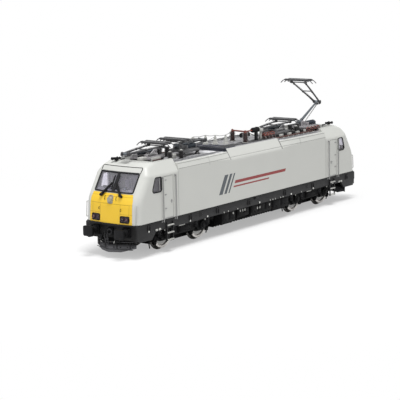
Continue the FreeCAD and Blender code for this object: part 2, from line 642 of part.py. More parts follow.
def make_roof_gear():
    x, y, z = END_X - 20.6, -(HALF_WIDTH - 9.6), ROOF_Z + 0.9
    horn = fuse([rod((x, y, ROOF_Z - 1.0), (x, y, z), 0.5),
                 rod((x - 1.4, y - 0.8, z), (x + 2.4, y - 0.8, z), 0.35, 0.75),
                 rod((x - 2.0, y + 0.8, z), (x + 1.6, y + 0.8, z), 0.35, 0.75),
                 rod((x, y - 0.9, z - 0.2), (x, y + 0.9, z - 0.2), 0.4)])
    save("signal_horns", group(two_ends(horn.cut(body_form(0.0, SILL_Z)))))

    posts = [insulator(x, y, HOOD_Z, HOOD_Z + POST_HEIGHT, 1.25) for x, y in (FAR_POST, NEAR_POST)]
    for x, y in ((-17.2, 5.0), (-14.7, 0.4), (-10.8, -3.8)):
        posts.append(insulator(x, y, HOOD_Z, HOOD_Z + 4.3, 0.7))
    save("roof_insulators", group(posts))
    post_z = HOOD_Z + POST_HEIGHT
    bar_z = post_z + 0.55
    x0, x1 = BREAKER_X
    y = NEAR_POST[1]
    near = NEAR_POST + (bar_z,)
    bar = fuse([rod(FAR_POST + (bar_z,), near, 0.45), rod(near, (x0, y, bar_z), 0.4)])
    clamps = [rod((px, py, post_z), (px, py, bar_z + 0.6), 0.65) for px, py in (FAR_POST, NEAR_POST)]
    save("busbar", fuse([bar] + clamps))
    breaker = fuse([rod((x0, y, bar_z), (x1, y, bar_z), 1.05),
                    box(x1 - 3.2, x1 - 1.2, y - 0.5, y + 0.5, HOOD_Z, bar_z)])
    filter_box = box(PANTO_OUTER_X + 1.0, PANTO_OUTER_X + 8.6, -6.3, -3.3, DECK_Z, DECK_Z + 1.8)
    tank = fuse([rod((14.5, 4.0, HOOD_Z + 1.3), (21.5, 4.0, HOOD_Z + 1.3), 1.3),
                 box(15.5, 20.5, 3.2, 4.8, HOOD_Z, HOOD_Z + 0.6)])
    save("roof_switchgear", group([breaker, tank] + two_ends(filter_box)))


def make_motor_block():
    end = CAB_ROOF_X - 5.5
    half = HALF_WIDTH - 5.6
    save("motor_block", box(-end, end, -half, half, FLOOR_TOP, CANT_Z - 2.0))


# ---- bogies ------------------------------------------------------------------------------------------------
SIDE_Y = (10.5, 12.1)       # a bogie's side frame
GEARBOX_Y = 5.2


def mirrored_outline(right):
    """The right half of an (x, z) outline, closed by its mirror image."""
    return right + [(-x, z) for x, z in reversed(right)]


def make_bogie(name, x):
    """Side frames with axle boxes and springs, headstocks, and the gearbox that holds the axles."""
    low, foot, mid, top = AXLE_Z - 2.7, AXLE_Z - 1.6, AXLE_Z + 1.4, AXLE_Z + 5.2
    outline = mirrored_outline([
        (AXLE - 6.4, foot), (AXLE - 5.4, mid - 1.2), (AXLE - 3.4, mid - 1.2), (AXLE - 3.4, low + 0.8),
        (AXLE - 2.6, low), (AXLE + 2.6, low), (AXLE + 3.4, low + 0.8), (AXLE + 3.4, mid - 0.6),
        (AXLE + 6.4, mid), (FRAME_X, mid), (FRAME_X, top - 1.8), (AXLE + 4.0, top - 1.2), (7.5, top)])
    side = [prism_y(outline, SIDE_Y[0], SIDE_Y[1])]
    for end in (1, -1):
        side.append(disc(end * AXLE, SIDE_Y[1], SIDE_Y[1] + 0.9, AXLE_Z, 2.1))
        for spring_x in (end * AXLE - 5.0, end * AXLE + 5.0):
            y = SIDE_Y[1] - 0.2
            side.append(rod((spring_x, y, mid - 1.6), (spring_x, y, mid + 2.2), 1.0))
    side.append(box(-5.0, 5.0, SIDE_Y[1], SIDE_Y[1] + 0.7, foot + 0.6, mid + 1.4))
    side = fuse(side)
    headstock = box(FRAME_X - 1.2, FRAME_X, -SIDE_Y[0], SIDE_Y[0], mid, top - 2.4)
    transom = box(-3.0, 3.0, -SIDE_Y[0], SIDE_Y[0], top - 3.0, top)
    frame = fuse(two_sides(side) + two_ends(headstock) + [transom])
    end, lid = AXLE + 3.65, AXLE_Z + 4.0
    housing = mirrored_outline([(end - 1.6, 2.4), (end, 4.0), (end, lid - 2.0), (end - 2.0, lid)])
    collar_z, pin_z = FLOOR_LOW - GAP, FLOOR_TOP - GAP
    post = fuse([rod((0, 0, lid - 0.2), (0, 0, collar_z), PIVOT_R + 1.6),
                 rod((0, 0, collar_z), (0, 0, pin_z), PIVOT_R)])
    gearbox = fuse([prism_y(housing, -GEARBOX_Y, GEARBOX_Y), post])
    reach = GEARBOX_Y + 1
    bores = [disc(e * AXLE, -reach, reach, AXLE_Z, AXLE_R + RUNNING) for e in (1, -1)]
    gearbox = cut(gearbox, bores)
    post_room = rod((0, 0, 5), (0, 0, 20), PIVOT_R + 1.6 + FIT)
    frame = cut(frame, [box(-end, end, -GEARBOX_Y, GEARBOX_Y, 0, lid), post_room])
    for label, shape in (("bogie_frame", frame), ("gearbox", gearbox)):
        shape.translate(V(x, 0, 0))
        save("%s_%s" % (label, name), shape)


def make_wheelset(number, x):
    """Two turned wheels pressed on an axle."""
    rim = TREAD_R + FLANGE
    inner, outer = WHEEL_IN_Y, WHEEL_OUT_Y
    profile = [(inner, AXLE_R), (inner, 2.4), (inner + 0.9, 2.9), (inner + 0.9, rim - 2.58),
               (inner, rim - 1.98), (inner, rim - 0.35), (inner + 0.3, rim), (inner + 0.6, rim - 0.2),
               (inner + 0.9, TREAD_R + 0.05), (outer, TREAD_R - 0.1), (outer, TREAD_R - 1.18),
               (outer - 0.8, TREAD_R - 1.68), (outer - 0.8, 3.0), (outer - 0.2, 2.3), (outer - 0.2, AXLE_R)]
    wire = Part.makePolygon([V(x, y, AXLE_Z + r) for y, r in profile + profile[:1]])
    wheel = Part.Face(wire).revolve(V(x, 0, AXLE_Z), V(0, 1, 0), 360)
    save("wheels_%d" % number, group(two_sides(wheel)))
    end = outer + 0.1
    collar = disc(x, GEARBOX_Y + GAP, inner, AXLE_Z, AXLE_R + 0.6)
    save("axle_%d" % number, fuse([disc(x, -end, end, AXLE_Z, AXLE_R)] + two_sides(collar)))


# ---- pantographs ------------------------------------------------------------------------------------------
EYE_R = 1.0                 # eyes at the foot and the knee of the lower arm
KNEE_R = 0.7
PIN_R = 0.38
KNEE_Y = 2.2                # the upper arm's two tubes spread from here
HEAD_Y = 4.5                # to here
TUBE_R = 0.45
STRIP_Y = 8.0               # half length of the contact strips
HEAD_UP = 1.3               # strips above the head's axis
FOOT_X = (-1.5, 10.5)       # insulators under the base frame, from the lower arm's axis
FOOT_Y = 4.7


def panto_base():
    """A frame of channels on four insulators, with the ears that carry the lower arm and the rod."""
    low, high = PANTO_Z - 3.4, PANTO_Z - 2.5
    x0, x1 = FOOT_X
    bars = [box(x0 - 0.9, x1 + 0.9, y - 0.6, y + 0.6, low, high) for y in (-FOOT_Y, FOOT_Y)]
    bars += [box(x - 0.6, x + 0.6, -FOOT_Y, FOOT_Y, low, high) for x in (x0, x1)]
    bars.append(box(-1.4, 4.4, -FOOT_Y, FOOT_Y, low, high))
    feet = [insulator(x, y, DECK_Z, low, 1.4) for x in FOOT_X for y in (-FOOT_Y, FOOT_Y)]
    ears = []
    for y in (1.5, -2.1):
        outline = [(-1.2, high), (4.2, high), (4.0, PANTO_Z - 1.2), (0.9, PANTO_Z + 0.7),
                   (-0.9, PANTO_Z + 0.7)]
        ears.append(prism_y(outline, y, y + 0.6))
    pin = disc(0, -2.1, 2.1, PANTO_Z, PIN_R)
    foot_pin = disc(ROD_FOOT[0], -2.0, 2.0, PANTO_Z + ROD_FOOT[1], 0.3)
    slot = box(ROD_FOOT[0] - 1.2, ROD_FOOT[0] + 1.2, -0.8, 0.8, high - 0.4, high)
    return fuse([cut(fuse(bars), [slot])] + ears + [pin, foot_pin]), group(feet)


def lower_arm():
    """From its foot at the origin along +X."""
    eyes = [disc(0, -1.2, 1.2, 0, EYE_R), disc(LOWER_ARM, -1.0, 1.0, 0, KNEE_R)]
    tube = rod((0, 0, 0), (LOWER_ARM, 0, 0), 0.85, 0.5)
    arm = fuse(eyes + [tube])
    return cut(arm, [disc(0, -3, 3, 0, PIN_R + RUNNING), disc(LOWER_ARM, -3, 3, 0, PIN_R + RUNNING)])


def upper_arm():
    """From its knee at the origin along -X."""
    knee = disc(0, -KNEE_Y, KNEE_Y, 0, PIN_R)
    ends = []
    for side in (1, -1):
        start = (0, side * (KNEE_Y - 0.4), 0)
        end = (-UPPER_ARM, side * HEAD_Y, 0)
        ends.append(rod(start, end, TUBE_R + 0.05, TUBE_R - 0.1))
        ends.append(disc(0, min(side * 1.3, side * KNEE_Y), max(side * 1.3, side * KNEE_Y), 0, 0.8))
        ends.append(disc(-UPPER_ARM, side * HEAD_Y - 0.4, side * HEAD_Y + 0.4, 0, 0.7))
        lug = rod((0, side * 1.55, 0), (ROD_TAIL[0], side * 1.55, -ROD_TAIL[1]), 0.3)
        ends.append(lug)
    brace_x = -UPPER_ARM * 0.55
    brace_y = KNEE_Y - 0.4 + (HEAD_Y - KNEE_Y + 0.4) * 0.55
    ends.append(disc(brace_x, -brace_y, brace_y, 0, 0.3))
    ends.append(disc(ROD_TAIL[0], -1.8, 1.8, -ROD_TAIL[1], 0.25))
    arm = fuse([knee] + ends)
    return arm.cut(disc(-UPPER_ARM, -HEAD_Y - 1, HEAD_Y + 1, 0, 0.3 + RUNNING))


def head():
    """Two contact strips with horns on a cradle that hangs on the cross tube at the origin."""
    parts = [disc(0, -HEAD_Y - 0.9, HEAD_Y + 0.9, 0, 0.3)]
    for x in (-1.9, 1.9):
        parts.append(box(x - 0.55, x + 0.55, -STRIP_Y, STRIP_Y, HEAD_UP, HEAD_UP + 0.5))
        for side in (1, -1):
            tip = HEAD_WIDTH / 2
            parts.append(bent_rod([(x, side * (STRIP_Y - 0.3), HEAD_UP + 0.2),
                                   (x, side * (STRIP_Y + 1.4), HEAD_UP - 0.2),
                                   (x, side * tip, HEAD_UP - 1.6)], 0.24))
    for side in (1, -1):
        y = side * (HEAD_Y + 0.75)
        parts.append(box(-2.2, 2.2, y - 0.25, y + 0.25, HEAD_UP - 0.35, HEAD_UP + 0.05))
        parts.append(box(-0.35, 0.35, y - 0.25, y + 0.25, -0.35, HEAD_UP))
    return fuse(parts)


def guide_rod(length):
    """From its foot eye at the origin along +X to a larger, loose eye."""
    eyes = [disc(0, -0.5, 0.5, 0, 0.6), disc(length, -0.5, 0.5, 0, 0.6)]
    bar = fuse(eyes + [rod((0, 0, 0), (length, 0, 0), 0.25)])
    return cut(bar, [disc(0, -1, 1, 0, 0.3 + RUNNING), disc(length, -1, 1, 0, 0.25 + ROD_PLAY)])


def placed(shape, angle, x, z, facing, base_x):
    """Turn a piece up by an angle, put it at (x, z) in its pantograph, and that at its place on the roof."""
    copy = shape.copy()
    copy.rotate(V(0, 0, 0), V(0, 1, 0), -angle)
    copy.translate(V(x, 0, z))
    if facing < 0:
        copy.rotate(V(0, 0, 0), V(0, 0, 1), 180)
    copy.translate(V(base_x, 0, 0))
    return copy


def make_pantograph(number, base_x, facing, pose):
    alpha, beta = pose
    a, b = math.radians(alpha), math.radians(beta)
    knee = (LOWER_ARM * math.cos(a), PANTO_Z + LOWER_ARM * math.sin(a))
    top = (knee[0] - UPPER_ARM * math.cos(b), knee[1] + UPPER_ARM * math.sin(b))
    tail = (knee[0] + ROD_TAIL[0] * math.cos(b) - ROD_TAIL[1] * math.sin(b),
            knee[1] - ROD_TAIL[0] * math.sin(b) - ROD_TAIL[1] * math.cos(b))
    foot = (ROD_FOOT[0], PANTO_Z + ROD_FOOT[1])
    rod_length = math.dist(foot, tail)
    rod_angle = math.degrees(math.atan2(tail[1] - foot[1], tail[0] - foot[0]))
    base, feet = panto_base()
    save("panto_base_%d" % number, placed(base, 0, 0, 0, facing, base_x))
    save("lower_arm_%d" % number, placed(lower_arm(), alpha, 0, PANTO_Z, facing, base_x))
    save("guide_rod_%d" % number, placed(guide_rod(rod_length), rod_angle, foot[0], foot[1], facing, base_x))
    save("upper_arm_%d" % number, placed(upper_arm(), -beta, knee[0], knee[1], facing, base_x))
    save("pan_head_%d" % number, placed(head(), 0, top[0], top[1], facing, base_x))
    return placed(feet, 0, 0, 0, facing, base_x)


def main():
    os.makedirs("parts", exist_ok=True)
    make_body()
    make_roof()
    make_frame()
    make_buffers()
    make_ploughs()
    make_couplings()
    make_underfloor()
    make_steps()
    make_rails()
    make_front_fittings()
    make_cabs()
    make_roof_gear()
    make_motor_block()
    make_bogie("front", -BOGIE_X)
    make_bogie("rear", BOGIE_X)
    for number, x in enumerate((-BOGIE_X - AXLE, -BOGIE_X + AXLE, BOGIE_X - AXLE, BOGIE_X + AXLE), start=1):
        make_wheelset(number, x)
    feet = []
    # (place along the roof, direction that the knee points, pose)
    table = [(-PANTO_OUTER_X, -1, LOWERED), (-PANTO_INNER_X, 1, LOWERED),
             (PANTO_INNER_X, -1, LOWERED), (PANTO_OUTER_X, 1, RAISED)]
    for number, (x, facing, pose) in enumerate(table, start=1):
        feet += make_pantograph(number, x, facing, pose).Solids
    save("panto_insulators", group(feet))


main()
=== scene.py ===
"""Looks of a model electric freight locomotive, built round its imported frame.

X runs along the locomotive with the front at -X, Y across it and Z up. Blender objects are in metres. The
shapes below are worked out in millimetres, and `fit` turns them into metres.
"""
import json
import math

import bmesh
import bpy
import numpy as np
from bpy.props import FloatProperty, FloatVectorProperty, PointerProperty
from mathutils import Matrix, Vector


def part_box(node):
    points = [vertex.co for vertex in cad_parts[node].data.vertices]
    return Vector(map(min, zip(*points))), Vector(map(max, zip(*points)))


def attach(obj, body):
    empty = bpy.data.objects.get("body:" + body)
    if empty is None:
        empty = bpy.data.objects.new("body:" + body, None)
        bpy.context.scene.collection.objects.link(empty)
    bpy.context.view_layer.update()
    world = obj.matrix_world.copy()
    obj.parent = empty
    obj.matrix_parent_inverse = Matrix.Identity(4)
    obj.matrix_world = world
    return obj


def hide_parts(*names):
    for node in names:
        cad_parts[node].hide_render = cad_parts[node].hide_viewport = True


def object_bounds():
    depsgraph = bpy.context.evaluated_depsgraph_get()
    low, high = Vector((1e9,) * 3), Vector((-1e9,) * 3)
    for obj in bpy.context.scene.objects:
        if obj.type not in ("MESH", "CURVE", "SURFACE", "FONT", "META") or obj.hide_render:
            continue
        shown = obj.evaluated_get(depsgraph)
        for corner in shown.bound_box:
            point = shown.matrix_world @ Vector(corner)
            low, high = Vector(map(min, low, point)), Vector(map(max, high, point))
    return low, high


bl_info = {
    "name": "Model freight locomotive",
    "version": (1, 0, 0),
    "blender": (4, 5, 0),
    "location": "View3D > Sidebar > Locomotive",
    "description": "Finishes and fine pieces of a model electric freight locomotive",
    "category": "Object",
}

MM = 0.001
X, Y, Z = np.eye(3)
FIXED = "locomotive"  # the body that everything without a joint rides on
NUMBERS = (1, 2, 3, 4)  # of the pantographs, and of the wheelsets
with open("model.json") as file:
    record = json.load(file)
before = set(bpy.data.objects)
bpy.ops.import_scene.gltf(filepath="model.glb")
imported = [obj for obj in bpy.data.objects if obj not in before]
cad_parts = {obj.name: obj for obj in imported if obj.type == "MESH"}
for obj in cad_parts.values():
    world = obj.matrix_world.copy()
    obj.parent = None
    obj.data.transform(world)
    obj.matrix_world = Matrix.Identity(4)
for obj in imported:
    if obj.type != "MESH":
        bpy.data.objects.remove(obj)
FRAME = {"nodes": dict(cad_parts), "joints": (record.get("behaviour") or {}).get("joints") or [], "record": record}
CAD_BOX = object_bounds()
NODES = FRAME["nodes"]
SLOT_OF = {part["node"]: part["material_slot"] for part in FRAME["record"]["subparts"]}
BODY_OF = {node: body for body, nodes in FRAME["record"]["behaviour"]["bodies"].items() for node in nodes}
PIVOT = {joint["name"]: np.array(joint["pos_m"]) / MM for joint in FRAME["joints"]}


def new_object(name, data):
    """An object in the scene that shows the data."""
    obj = bpy.data.objects.new(name, data)
    bpy.context.scene.collection.objects.link(obj)
    return obj


def extent(node):
    """Lowest and highest corner of a carried-over node, in millimetres."""
    return [np.array(corner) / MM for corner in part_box(node)]


# ---- datums taken from the frame, in millimetres -------------------
HALF_WIDTH = extent("body_shell")[1][1]
SILL = extent("body_shell")[0][2]
ROOF = extent("body_shell")[1][2]
DECK = extent("roof_decks")[1][2]
HOOD = extent("hood_top")[1][2]
HOOD_X = extent("roof_hood")[1][0]
END = extent("buffers")[1][0]
BUFFER_Y = extent("buffers")[1][1] - 3.1  # half a buffer's width
BUFFER_Z = extent("buffers")[1][2] - 2.6  # half its height
SKIRT_Y = extent("chassis_frame")[1][1]
AXLE_Z = PIVOT["wheelset_1_spin"][2]
BOGIE_X = PIVOT["bogie_rear_swivel"][0]
AXLE_X = PIVOT["wheelset_4_spin"][0] - BOGIE_X
WHEEL_OUT = extent("wheels_1")[1][1]
CANT = ROOF - 6.3  # where the side walls lean in
EAVES = CANT + 1.2  # the seam above that
BAY_X = END - 38.9  # inner end of the cab roofs
BEAM_X = END - 6.2  # face of the buffer beams
HIGH_FOOT, LOW_FOOT = HOOD - 0.05, DECK - 0.05  # feet are sunk a little into the hood or the decks
HIGH_POST, LOW_POST = HOOD - 0.02, DECK - 0.02  # and posts a little less


# ---- shader maths --------------------------------------------------
class Value:
    """A number that changes over a surface. Python's operators on it add Math nodes, and a plain number may
    stand on either side of them."""

    def __init__(self, graph, socket):
        self.graph = graph
        self.socket = socket

    def math(self, operation, *numbers):
        """What a Math node makes of this value and the numbers after it."""
        sockets = {i: n for i, n in enumerate((self,) + numbers)}
        return self.graph.node("ShaderNodeMath", {"operation": operation}, sockets)

    def __add__(self, other):
        return self.math("ADD", other)

    def __sub__(self, other):
        return self.math("SUBTRACT", other)

    def __mul__(self, other):
        return self.math("MULTIPLY", other)

    __radd__ = __add__
    __rmul__ = __mul__

    def __rsub__(self, other):
        return self * -1.0 + other

    def __gt__(self, other):
        return self.math("GREATER_THAN", other)

    def __lt__(self, other):
        return self.math("LESS_THAN", other)

    def __abs__(self):
        return self.math("ABSOLUTE")

    def clamped(self):
        """The same, kept from 0 to 1."""
        return self.graph.node("ShaderNodeMath", {"operation": "ADD", "use_clamp": True}, {0: self, 1: 0.0})

    def step(self, low, high):
        """0 below low, 1 above high and a smooth rise between them."""
        return self.graph.node("ShaderNodeMapRange", {"interpolation_type": "SMOOTHSTEP"},
                               {"Value": self, "From Min": low, "From Max": high})

    def within(self, low, high):
        """1 between low and high, 0 elsewhere."""
        return (self > low) * (self < high)

    def line(self, at, width):
        """1 on a line of a width, 0 beside it."""
        return abs(self - at) < width / 2

    def outputs(self, *names):
        """Outputs of the node that this value comes from."""
        return [Value(self.graph, self.socket.node.outputs[name]) for name in names]


class Graph:
    """The nodes of one material, or of the world."""

    def __init__(self, owner):
        owner.use_nodes = True
        self.owner = owner
        self.tree = owner.node_tree
        self.tree.nodes.clear()

    def node(self, kind, settings=None, sockets=None, out=0):
        """Adds a node: its settings come first, then the values or links of its sockets. The value is one of
        its outputs, where it has any."""
        node = self.tree.nodes.new(kind)
        for name, setting in (settings or {}).items():
            setattr(node, name, setting)
        for name, value in (sockets or {}).items():
            self.feed(node.inputs[name], value)
        return Value(self, node.outputs[out] if node.outputs else None)

    def feed(self, socket, value):
        """Links a value to a socket, or sets the socket to a number or a colour."""
        if isinstance(value, Value):
            self.tree.links.new(value.socket, socket)
        elif socket.type == "RGBA":
            socket.default_value = (*value, 1.0)
        else:
            socket.default_value = value

    def axes(self):
        """Object coordinates in millimetres as three values."""
        here = self.node("ShaderNodeTexCoord", out="Object")
        scale = self.node("ShaderNodeVectorMath", {"operation": "MULTIPLY"}, {0: here, 1: (1 / MM,) * 3})
        return self.node("ShaderNodeSeparateXYZ", None, {"Vector": scale}).outputs("X", "Y", "Z")

    def noise(self, size, detail=3.0):
        """Mottling from 0 to 1 whose blots are about one size across, in millimetres."""
        here = self.node("ShaderNodeTexCoord", out="Object")
        scale = 1.0 / (size * MM)
        return self.node("ShaderNodeTexNoise", None, {"Vector": here, "Scale": scale, "Detail": detail})

    def blend(self, mask, first, second):
        """A colour: first where the mask is 0, second where it is 1."""
        return self.node("ShaderNodeMix", {"data_type": "RGBA"}, {0: mask, 6: first, 7: second}, out=2)

    def bump(self, height, depth):
        """Bumps as deep as depth millimetres where the height goes from 0 to 1."""
        return self.node("ShaderNodeBump", None, {"Height": height, "Distance": depth * MM, "Strength": 1.0})

    def surface(self, shader):
        """Shows the shader, and gives back the material or world."""
        kind = "World" if isinstance(self.owner, bpy.types.World) else "Material"
        self.node("ShaderNodeOutput" + kind, None, {"Surface": shader})
        return self.owner

    def coat(self, **sockets):
        """A Principled surface: names are its sockets, with spaces as underscores."""
        values = {name.replace("_", " "): value for name, value in sockets.items()}
        return self.surface(self.node("ShaderNodeBsdfPrincipled", None, values))


def scaled(colour, factor):
    """A colour made lighter or darker."""
    return tuple(min(1.0, c * factor) for c in colour)


def new_graph(name):
    """The nodes of a new material."""
    return Graph(bpy.data.materials.new(name))


# ---- finishes ------------------------------------------------------
def sprayed(name, colour, rough, dark=None, lines=None, marks=()):
    """Sprayed satin lacquer on moulded plastic: faint mottling and a fine orange peel. Lines, where given,
    are engraved: they show a little darker and sunk. Marks are printed over it as (mask, colour)."""
    g = new_graph(name)
    place = g.axes()
    cloud = g.noise(14.0, 2.0)
    grain = g.noise(0.30, 2.0)
    base = g.blend(cloud, scaled(colour, 0.97), scaled(colour, 1.03))
    height = grain * 0.02
    if lines:
        groove = lines(*place)
        base = g.blend(groove * 0.75, base, dark)
        height = height - groove
    for mask, ink in marks:
        base = g.blend(mask(*place), base, ink)
    return g.coat(Base_Color=base, Roughness=cloud * 0.08 + grain * 0.06 + (rough - 0.07),
                  Normal=g.bump(height, 0.12), Specular_IOR_Level=0.35)


def matt(name, colour, rough=0.55, spread=0.14, edge_dust=0.0, shine=0.22, marks=()):
    """Matt coating of the roof and the underframe, with a trace of dust on what faces up. Marks are parts in
    another shade, as (mask, colour)."""
    g = new_graph(name)
    cloud = g.noise(4.0, 4.0)
    grain = g.noise(0.20, 2.0)
    base = g.blend(cloud, scaled(colour, 1 - spread), scaled(colour, 1 + spread))
    for mask, shade in marks:
        base = g.blend(mask(*g.axes()), base, shade)
    if edge_dust:
        normal = g.node("ShaderNodeNewGeometry", out="Normal")
        up = g.node("ShaderNodeSeparateXYZ", None, {"Vector": normal}, "Z")
        base = g.blend((up * cloud).step(0.3, 0.9) * edge_dust, base, (0.26, 0.25, 0.24))
    return g.coat(Base_Color=base, Roughness=cloud * 0.16 + grain * 0.10 + (rough - 0.13),
                  Normal=g.bump(grain, 0.015), Specular_IOR_Level=shine)


def metal(name, colour, rough, grain_size):
    """Bare cast metal."""
    g = new_graph(name)
    grain = g.noise(grain_size)
    base = g.blend(g.noise(3.0), scaled(colour, 0.86), scaled(colour, 1.06))
    return g.coat(Base_Color=base, Metallic=1.0, Roughness=grain * 0.16 + (rough - 0.08),
                  Normal=g.bump(grain, 0.004))


def turned_wheel(name, axle_x, tyre, centre):
    """A wheel: the tyre is bare and shows turning rings, and the centre is painted. The tread, flange and rim of
    the tyre's inner face are darker, as painted shade.
    """
    g = new_graph(name)
    x, y, z = g.axes()
    across_x, across_z = x - axle_x, z - AXLE_Z
    radius = (across_x * across_x + across_z * across_z).math("SQRT")
    bare = radius.step(3.6, 3.9)  # the tyre, outside the painted centre
    tread = abs(y) < WHEEL_OUT - 0.12
    rings = (radius * 26.0).math("SINE") * 0.5 + 0.5
    cloud = g.noise(1.6, 4.0)
    grain = g.noise(0.2, 2.0)
    steel = g.blend(cloud, scaled(tyre, 0.82), scaled(tyre, 1.08))
    steel = g.blend(tread * radius.step(5.9, 6.1), steel, scaled(tyre, 0.30))  # painted shade: the tread, the flange and the rim of the inner face are darker
    paint = g.blend(cloud, scaled(centre, 0.8), scaled(centre, 1.25))
    return g.coat(Base_Color=g.blend(bare, paint, steel), Metallic=bare,
                  Roughness=0.55 - bare * 0.22 + grain * 0.08 + rings * bare * 0.05,
                  Normal=g.bump(rings * bare * 0.4 + grain * 0.6, 0.006))


def clear_moulding(name, colour, rough=0.02, clear=1.0):
    """Clear moulding with a light tint, and with some haze where it isn't wholly clear. On the windshields the
    haze is a painted reflection.
    """
    g = new_graph(name)
    cloud = g.noise(20.0, 1.0)
    return g.coat(Base_Color=g.blend(cloud, scaled(colour, 0.97), colour), Roughness=cloud * 0.02 + rough,
                  Transmission_Weight=clear, IOR=1.45)


def glazed(name, colour, rough=0.16):
    """Glazed insulators: glossy, with a mottled tone."""
    g = new_graph(name)
    cloud = g.noise(2.5, 3.0)
    grain = g.noise(0.3)
    return g.coat(Base_Color=g.blend(cloud, scaled(colour, 0.8), scaled(colour, 1.3)),
                  Roughness=cloud * 0.10 + rough, Normal=g.bump(grain, 0.006), Coat_Weight=0.5,
                  Coat_Roughness=0.08)


def lamp_block(name, dark, pale):
    """Lamp housings: dark in the clusters, pale on the upper lamp."""
    g = new_graph(name)
    _, _, z = g.axes()
    cloud = g.noise(1.5)
    base = g.blend(z > SILL + 8.0, dark, pale)
    return g.coat(Base_Color=g.blend(cloud * 0.3, base, scaled(dark, 0.6)), Roughness=cloud * 0.1 + 0.3)


def insulator_set(name, dark, pale):
    """The roof's post insulators: brown-black ones under the busbar and pale ones in front of them."""
    g = new_graph(name)
    x, _, _ = g.axes()
    cloud = g.noise(1.2, 3.0)
    tone = g.blend(x < -5.0, dark, pale)
    return g.coat(Base_Color=g.blend(cloud * 0.35, tone, dark), Roughness=cloud * 0.12 + 0.22,
                  Coat_Weight=0.4, Coat_Roughness=0.1)


# ---- shapes --------------------------------------------------------
class Shape:
    """Points in millimetres and faces of four corners. A triangle repeats its last corner."""

    def __init__(self, points, faces):
        self.points = np.asarray(points, float)
        self.faces = np.asarray(faces, int)

    def __add__(self, other):
        return Shape(np.concatenate([self.points, other.points]),
                     np.concatenate([self.faces, other.faces + len(self.points)]))

    def moved(self, x=0.0, y=0.0, z=0.0):
        """Moved by a distance along each axis."""
        return Shape(self.points + (x, y, z), self.faces)

    def turned(self, axis, degrees, centre=(0.0, 0.0, 0.0)):
        """Turned about the axis x, y or z through a centre."""
        turn = np.array(Matrix.Rotation(math.radians(degrees), 3, axis.upper()))
        return Shape((self.points - centre) @ turn.T + centre, self.faces)

    def stamped(self, offsets):
        """A copy at each of the offsets."""
        offsets = np.asarray(offsets, float).reshape(-1, 1, 3)
        count = len(self.points)
        steps = np.arange(len(offsets)).reshape(-1, 1, 1) * count
        return Shape((self.points[None] + offsets).reshape(-1, 3), (self.faces[None] + steps).reshape(-1, 4))

    def both_sides(self):
        """The shape and its mirror image on the other side."""
        return self + Shape(self.points * (1.0, -1.0, 1.0), inside_out(self.faces))

    def both_ends(self):
        """The shape and its copy at the other end, half a turn about the upright axis."""
        return self + Shape(self.points * (-1.0, -1.0, 1.0), self.faces)


def inside_out(faces):
    """The same faces turned the other way round."""
    faces = faces[:, ::-1].copy()
    triangle = faces[:, 0] == faces[:, 1]
    faces[triangle] = np.roll(faces[triangle], -2, axis=1)
    return faces


def joined(shapes):
    """Several shapes as one."""
    shapes = list(shapes)
    starts = np.cumsum([0] + [len(shape.points) for shape in shapes[:-1]])
    return Shape(np.concatenate([shape.points for shape in shapes]),
                 np.concatenate([shape.faces + start for shape, start in zip(shapes, starts)]))


def faces_of_grid(rows, columns, loop_rows=False, loop_columns=False):
    """Four corners of each cell of a grid of points numbered row by row. A looped side joins its last to its
    first."""
    i = np.arange(rows if loop_rows else rows - 1)[:, None]
    j = np.arange(columns if loop_columns else columns - 1)[None, :]
    i, j = np.broadcast_arrays(i, j)
    after_i, after_j = (i + 1) % rows, (j + 1) % columns
    corners = [i * columns + j, after_i * columns + j, after_i * columns + after_j, i * columns + after_j]
    return np.stack(corners, axis=-1).reshape(-1, 4)


def closed(points, faces):
    """A closed surface. Points that share a place to five decimals are merged, so seams and poles close;
    quads that lose a corner become triangles; and if the signed volume comes out negative, every face is
    turned round."""
    _, first, where = np.unique(np.round(points, 5) + 0.0, axis=0, return_index=True, return_inverse=True)
    points, faces = points[first], where.reshape(-1)[faces]
    same = faces == np.roll(faces, -1, axis=1)
    faces, same = faces[same.sum(axis=1) < 2], same[same.sum(axis=1) < 2]
    at = np.where(same.any(axis=1), same.argmax(axis=1) - 2, 0)
    faces = np.take_along_axis(faces, (np.arange(4)[None, :] + at[:, None]) % 4, axis=1)
    a, b, c, d = (points[faces[:, k]] for k in range(4))
    volume = (a * (np.cross(b, c) + np.cross(c, d))).sum()
    return Shape(points, faces if volume > 0 else inside_out(faces))


def across(direction):
    """Two directions at right angles to a direction and to each other, and the direction itself."""
    direction = unit(np.asarray(direction, float))
    side = unit(np.cross(direction, np.eye(3)[np.argmin(np.abs(direction))]))
    return side, np.cross(direction, side), direction


def along(values, y=0.0, z=0.0):
    """Points at each of the values along X."""
    return [(x, y, z) for x in values]


def lathe(profile, start, direction, sides=20):
    """A profile of (radius, height) turned about a line: at angle t the point is start + height * direction
    + radius * (cos t * side + sin t * up)."""
    radius, height = np.array(profile, float).T
    side, up, axis = across(direction)
    t = np.linspace(0.0, 2 * np.pi, sides, endpoint=False)
    ring = np.cos(t)[:, None] * side + np.sin(t)[:, None] * up
    points = np.array(start, float) + height[:, None, None] * axis + radius[:, None, None] * ring
    return closed(points.reshape(-1, 3), faces_of_grid(len(radius), sides, loop_columns=True))


def knob(place, direction, sides, *steps, top=None):
    """A turned solid: its profile goes out from the axis, through (radius, height) steps and back."""
    top = steps[-1][1] if top is None else top
    return lathe([(0, 0), (steps[0][0], 0), *steps, (0, top)], place, direction, sides)


def bar(start, end, radius, sides=10):
    """A round bar between two points, with domed ends."""
    run = np.subtract(end, start).astype(float)
    length = np.linalg.norm(run)
    dome = min(0.3, radius) * 0.5
    half = [(0, 0), (radius * 0.6, dome * 0.25), (radius, dome)]
    return lathe(half + [(r, length - h) for r, h in half[::-1]], start, run, sides)


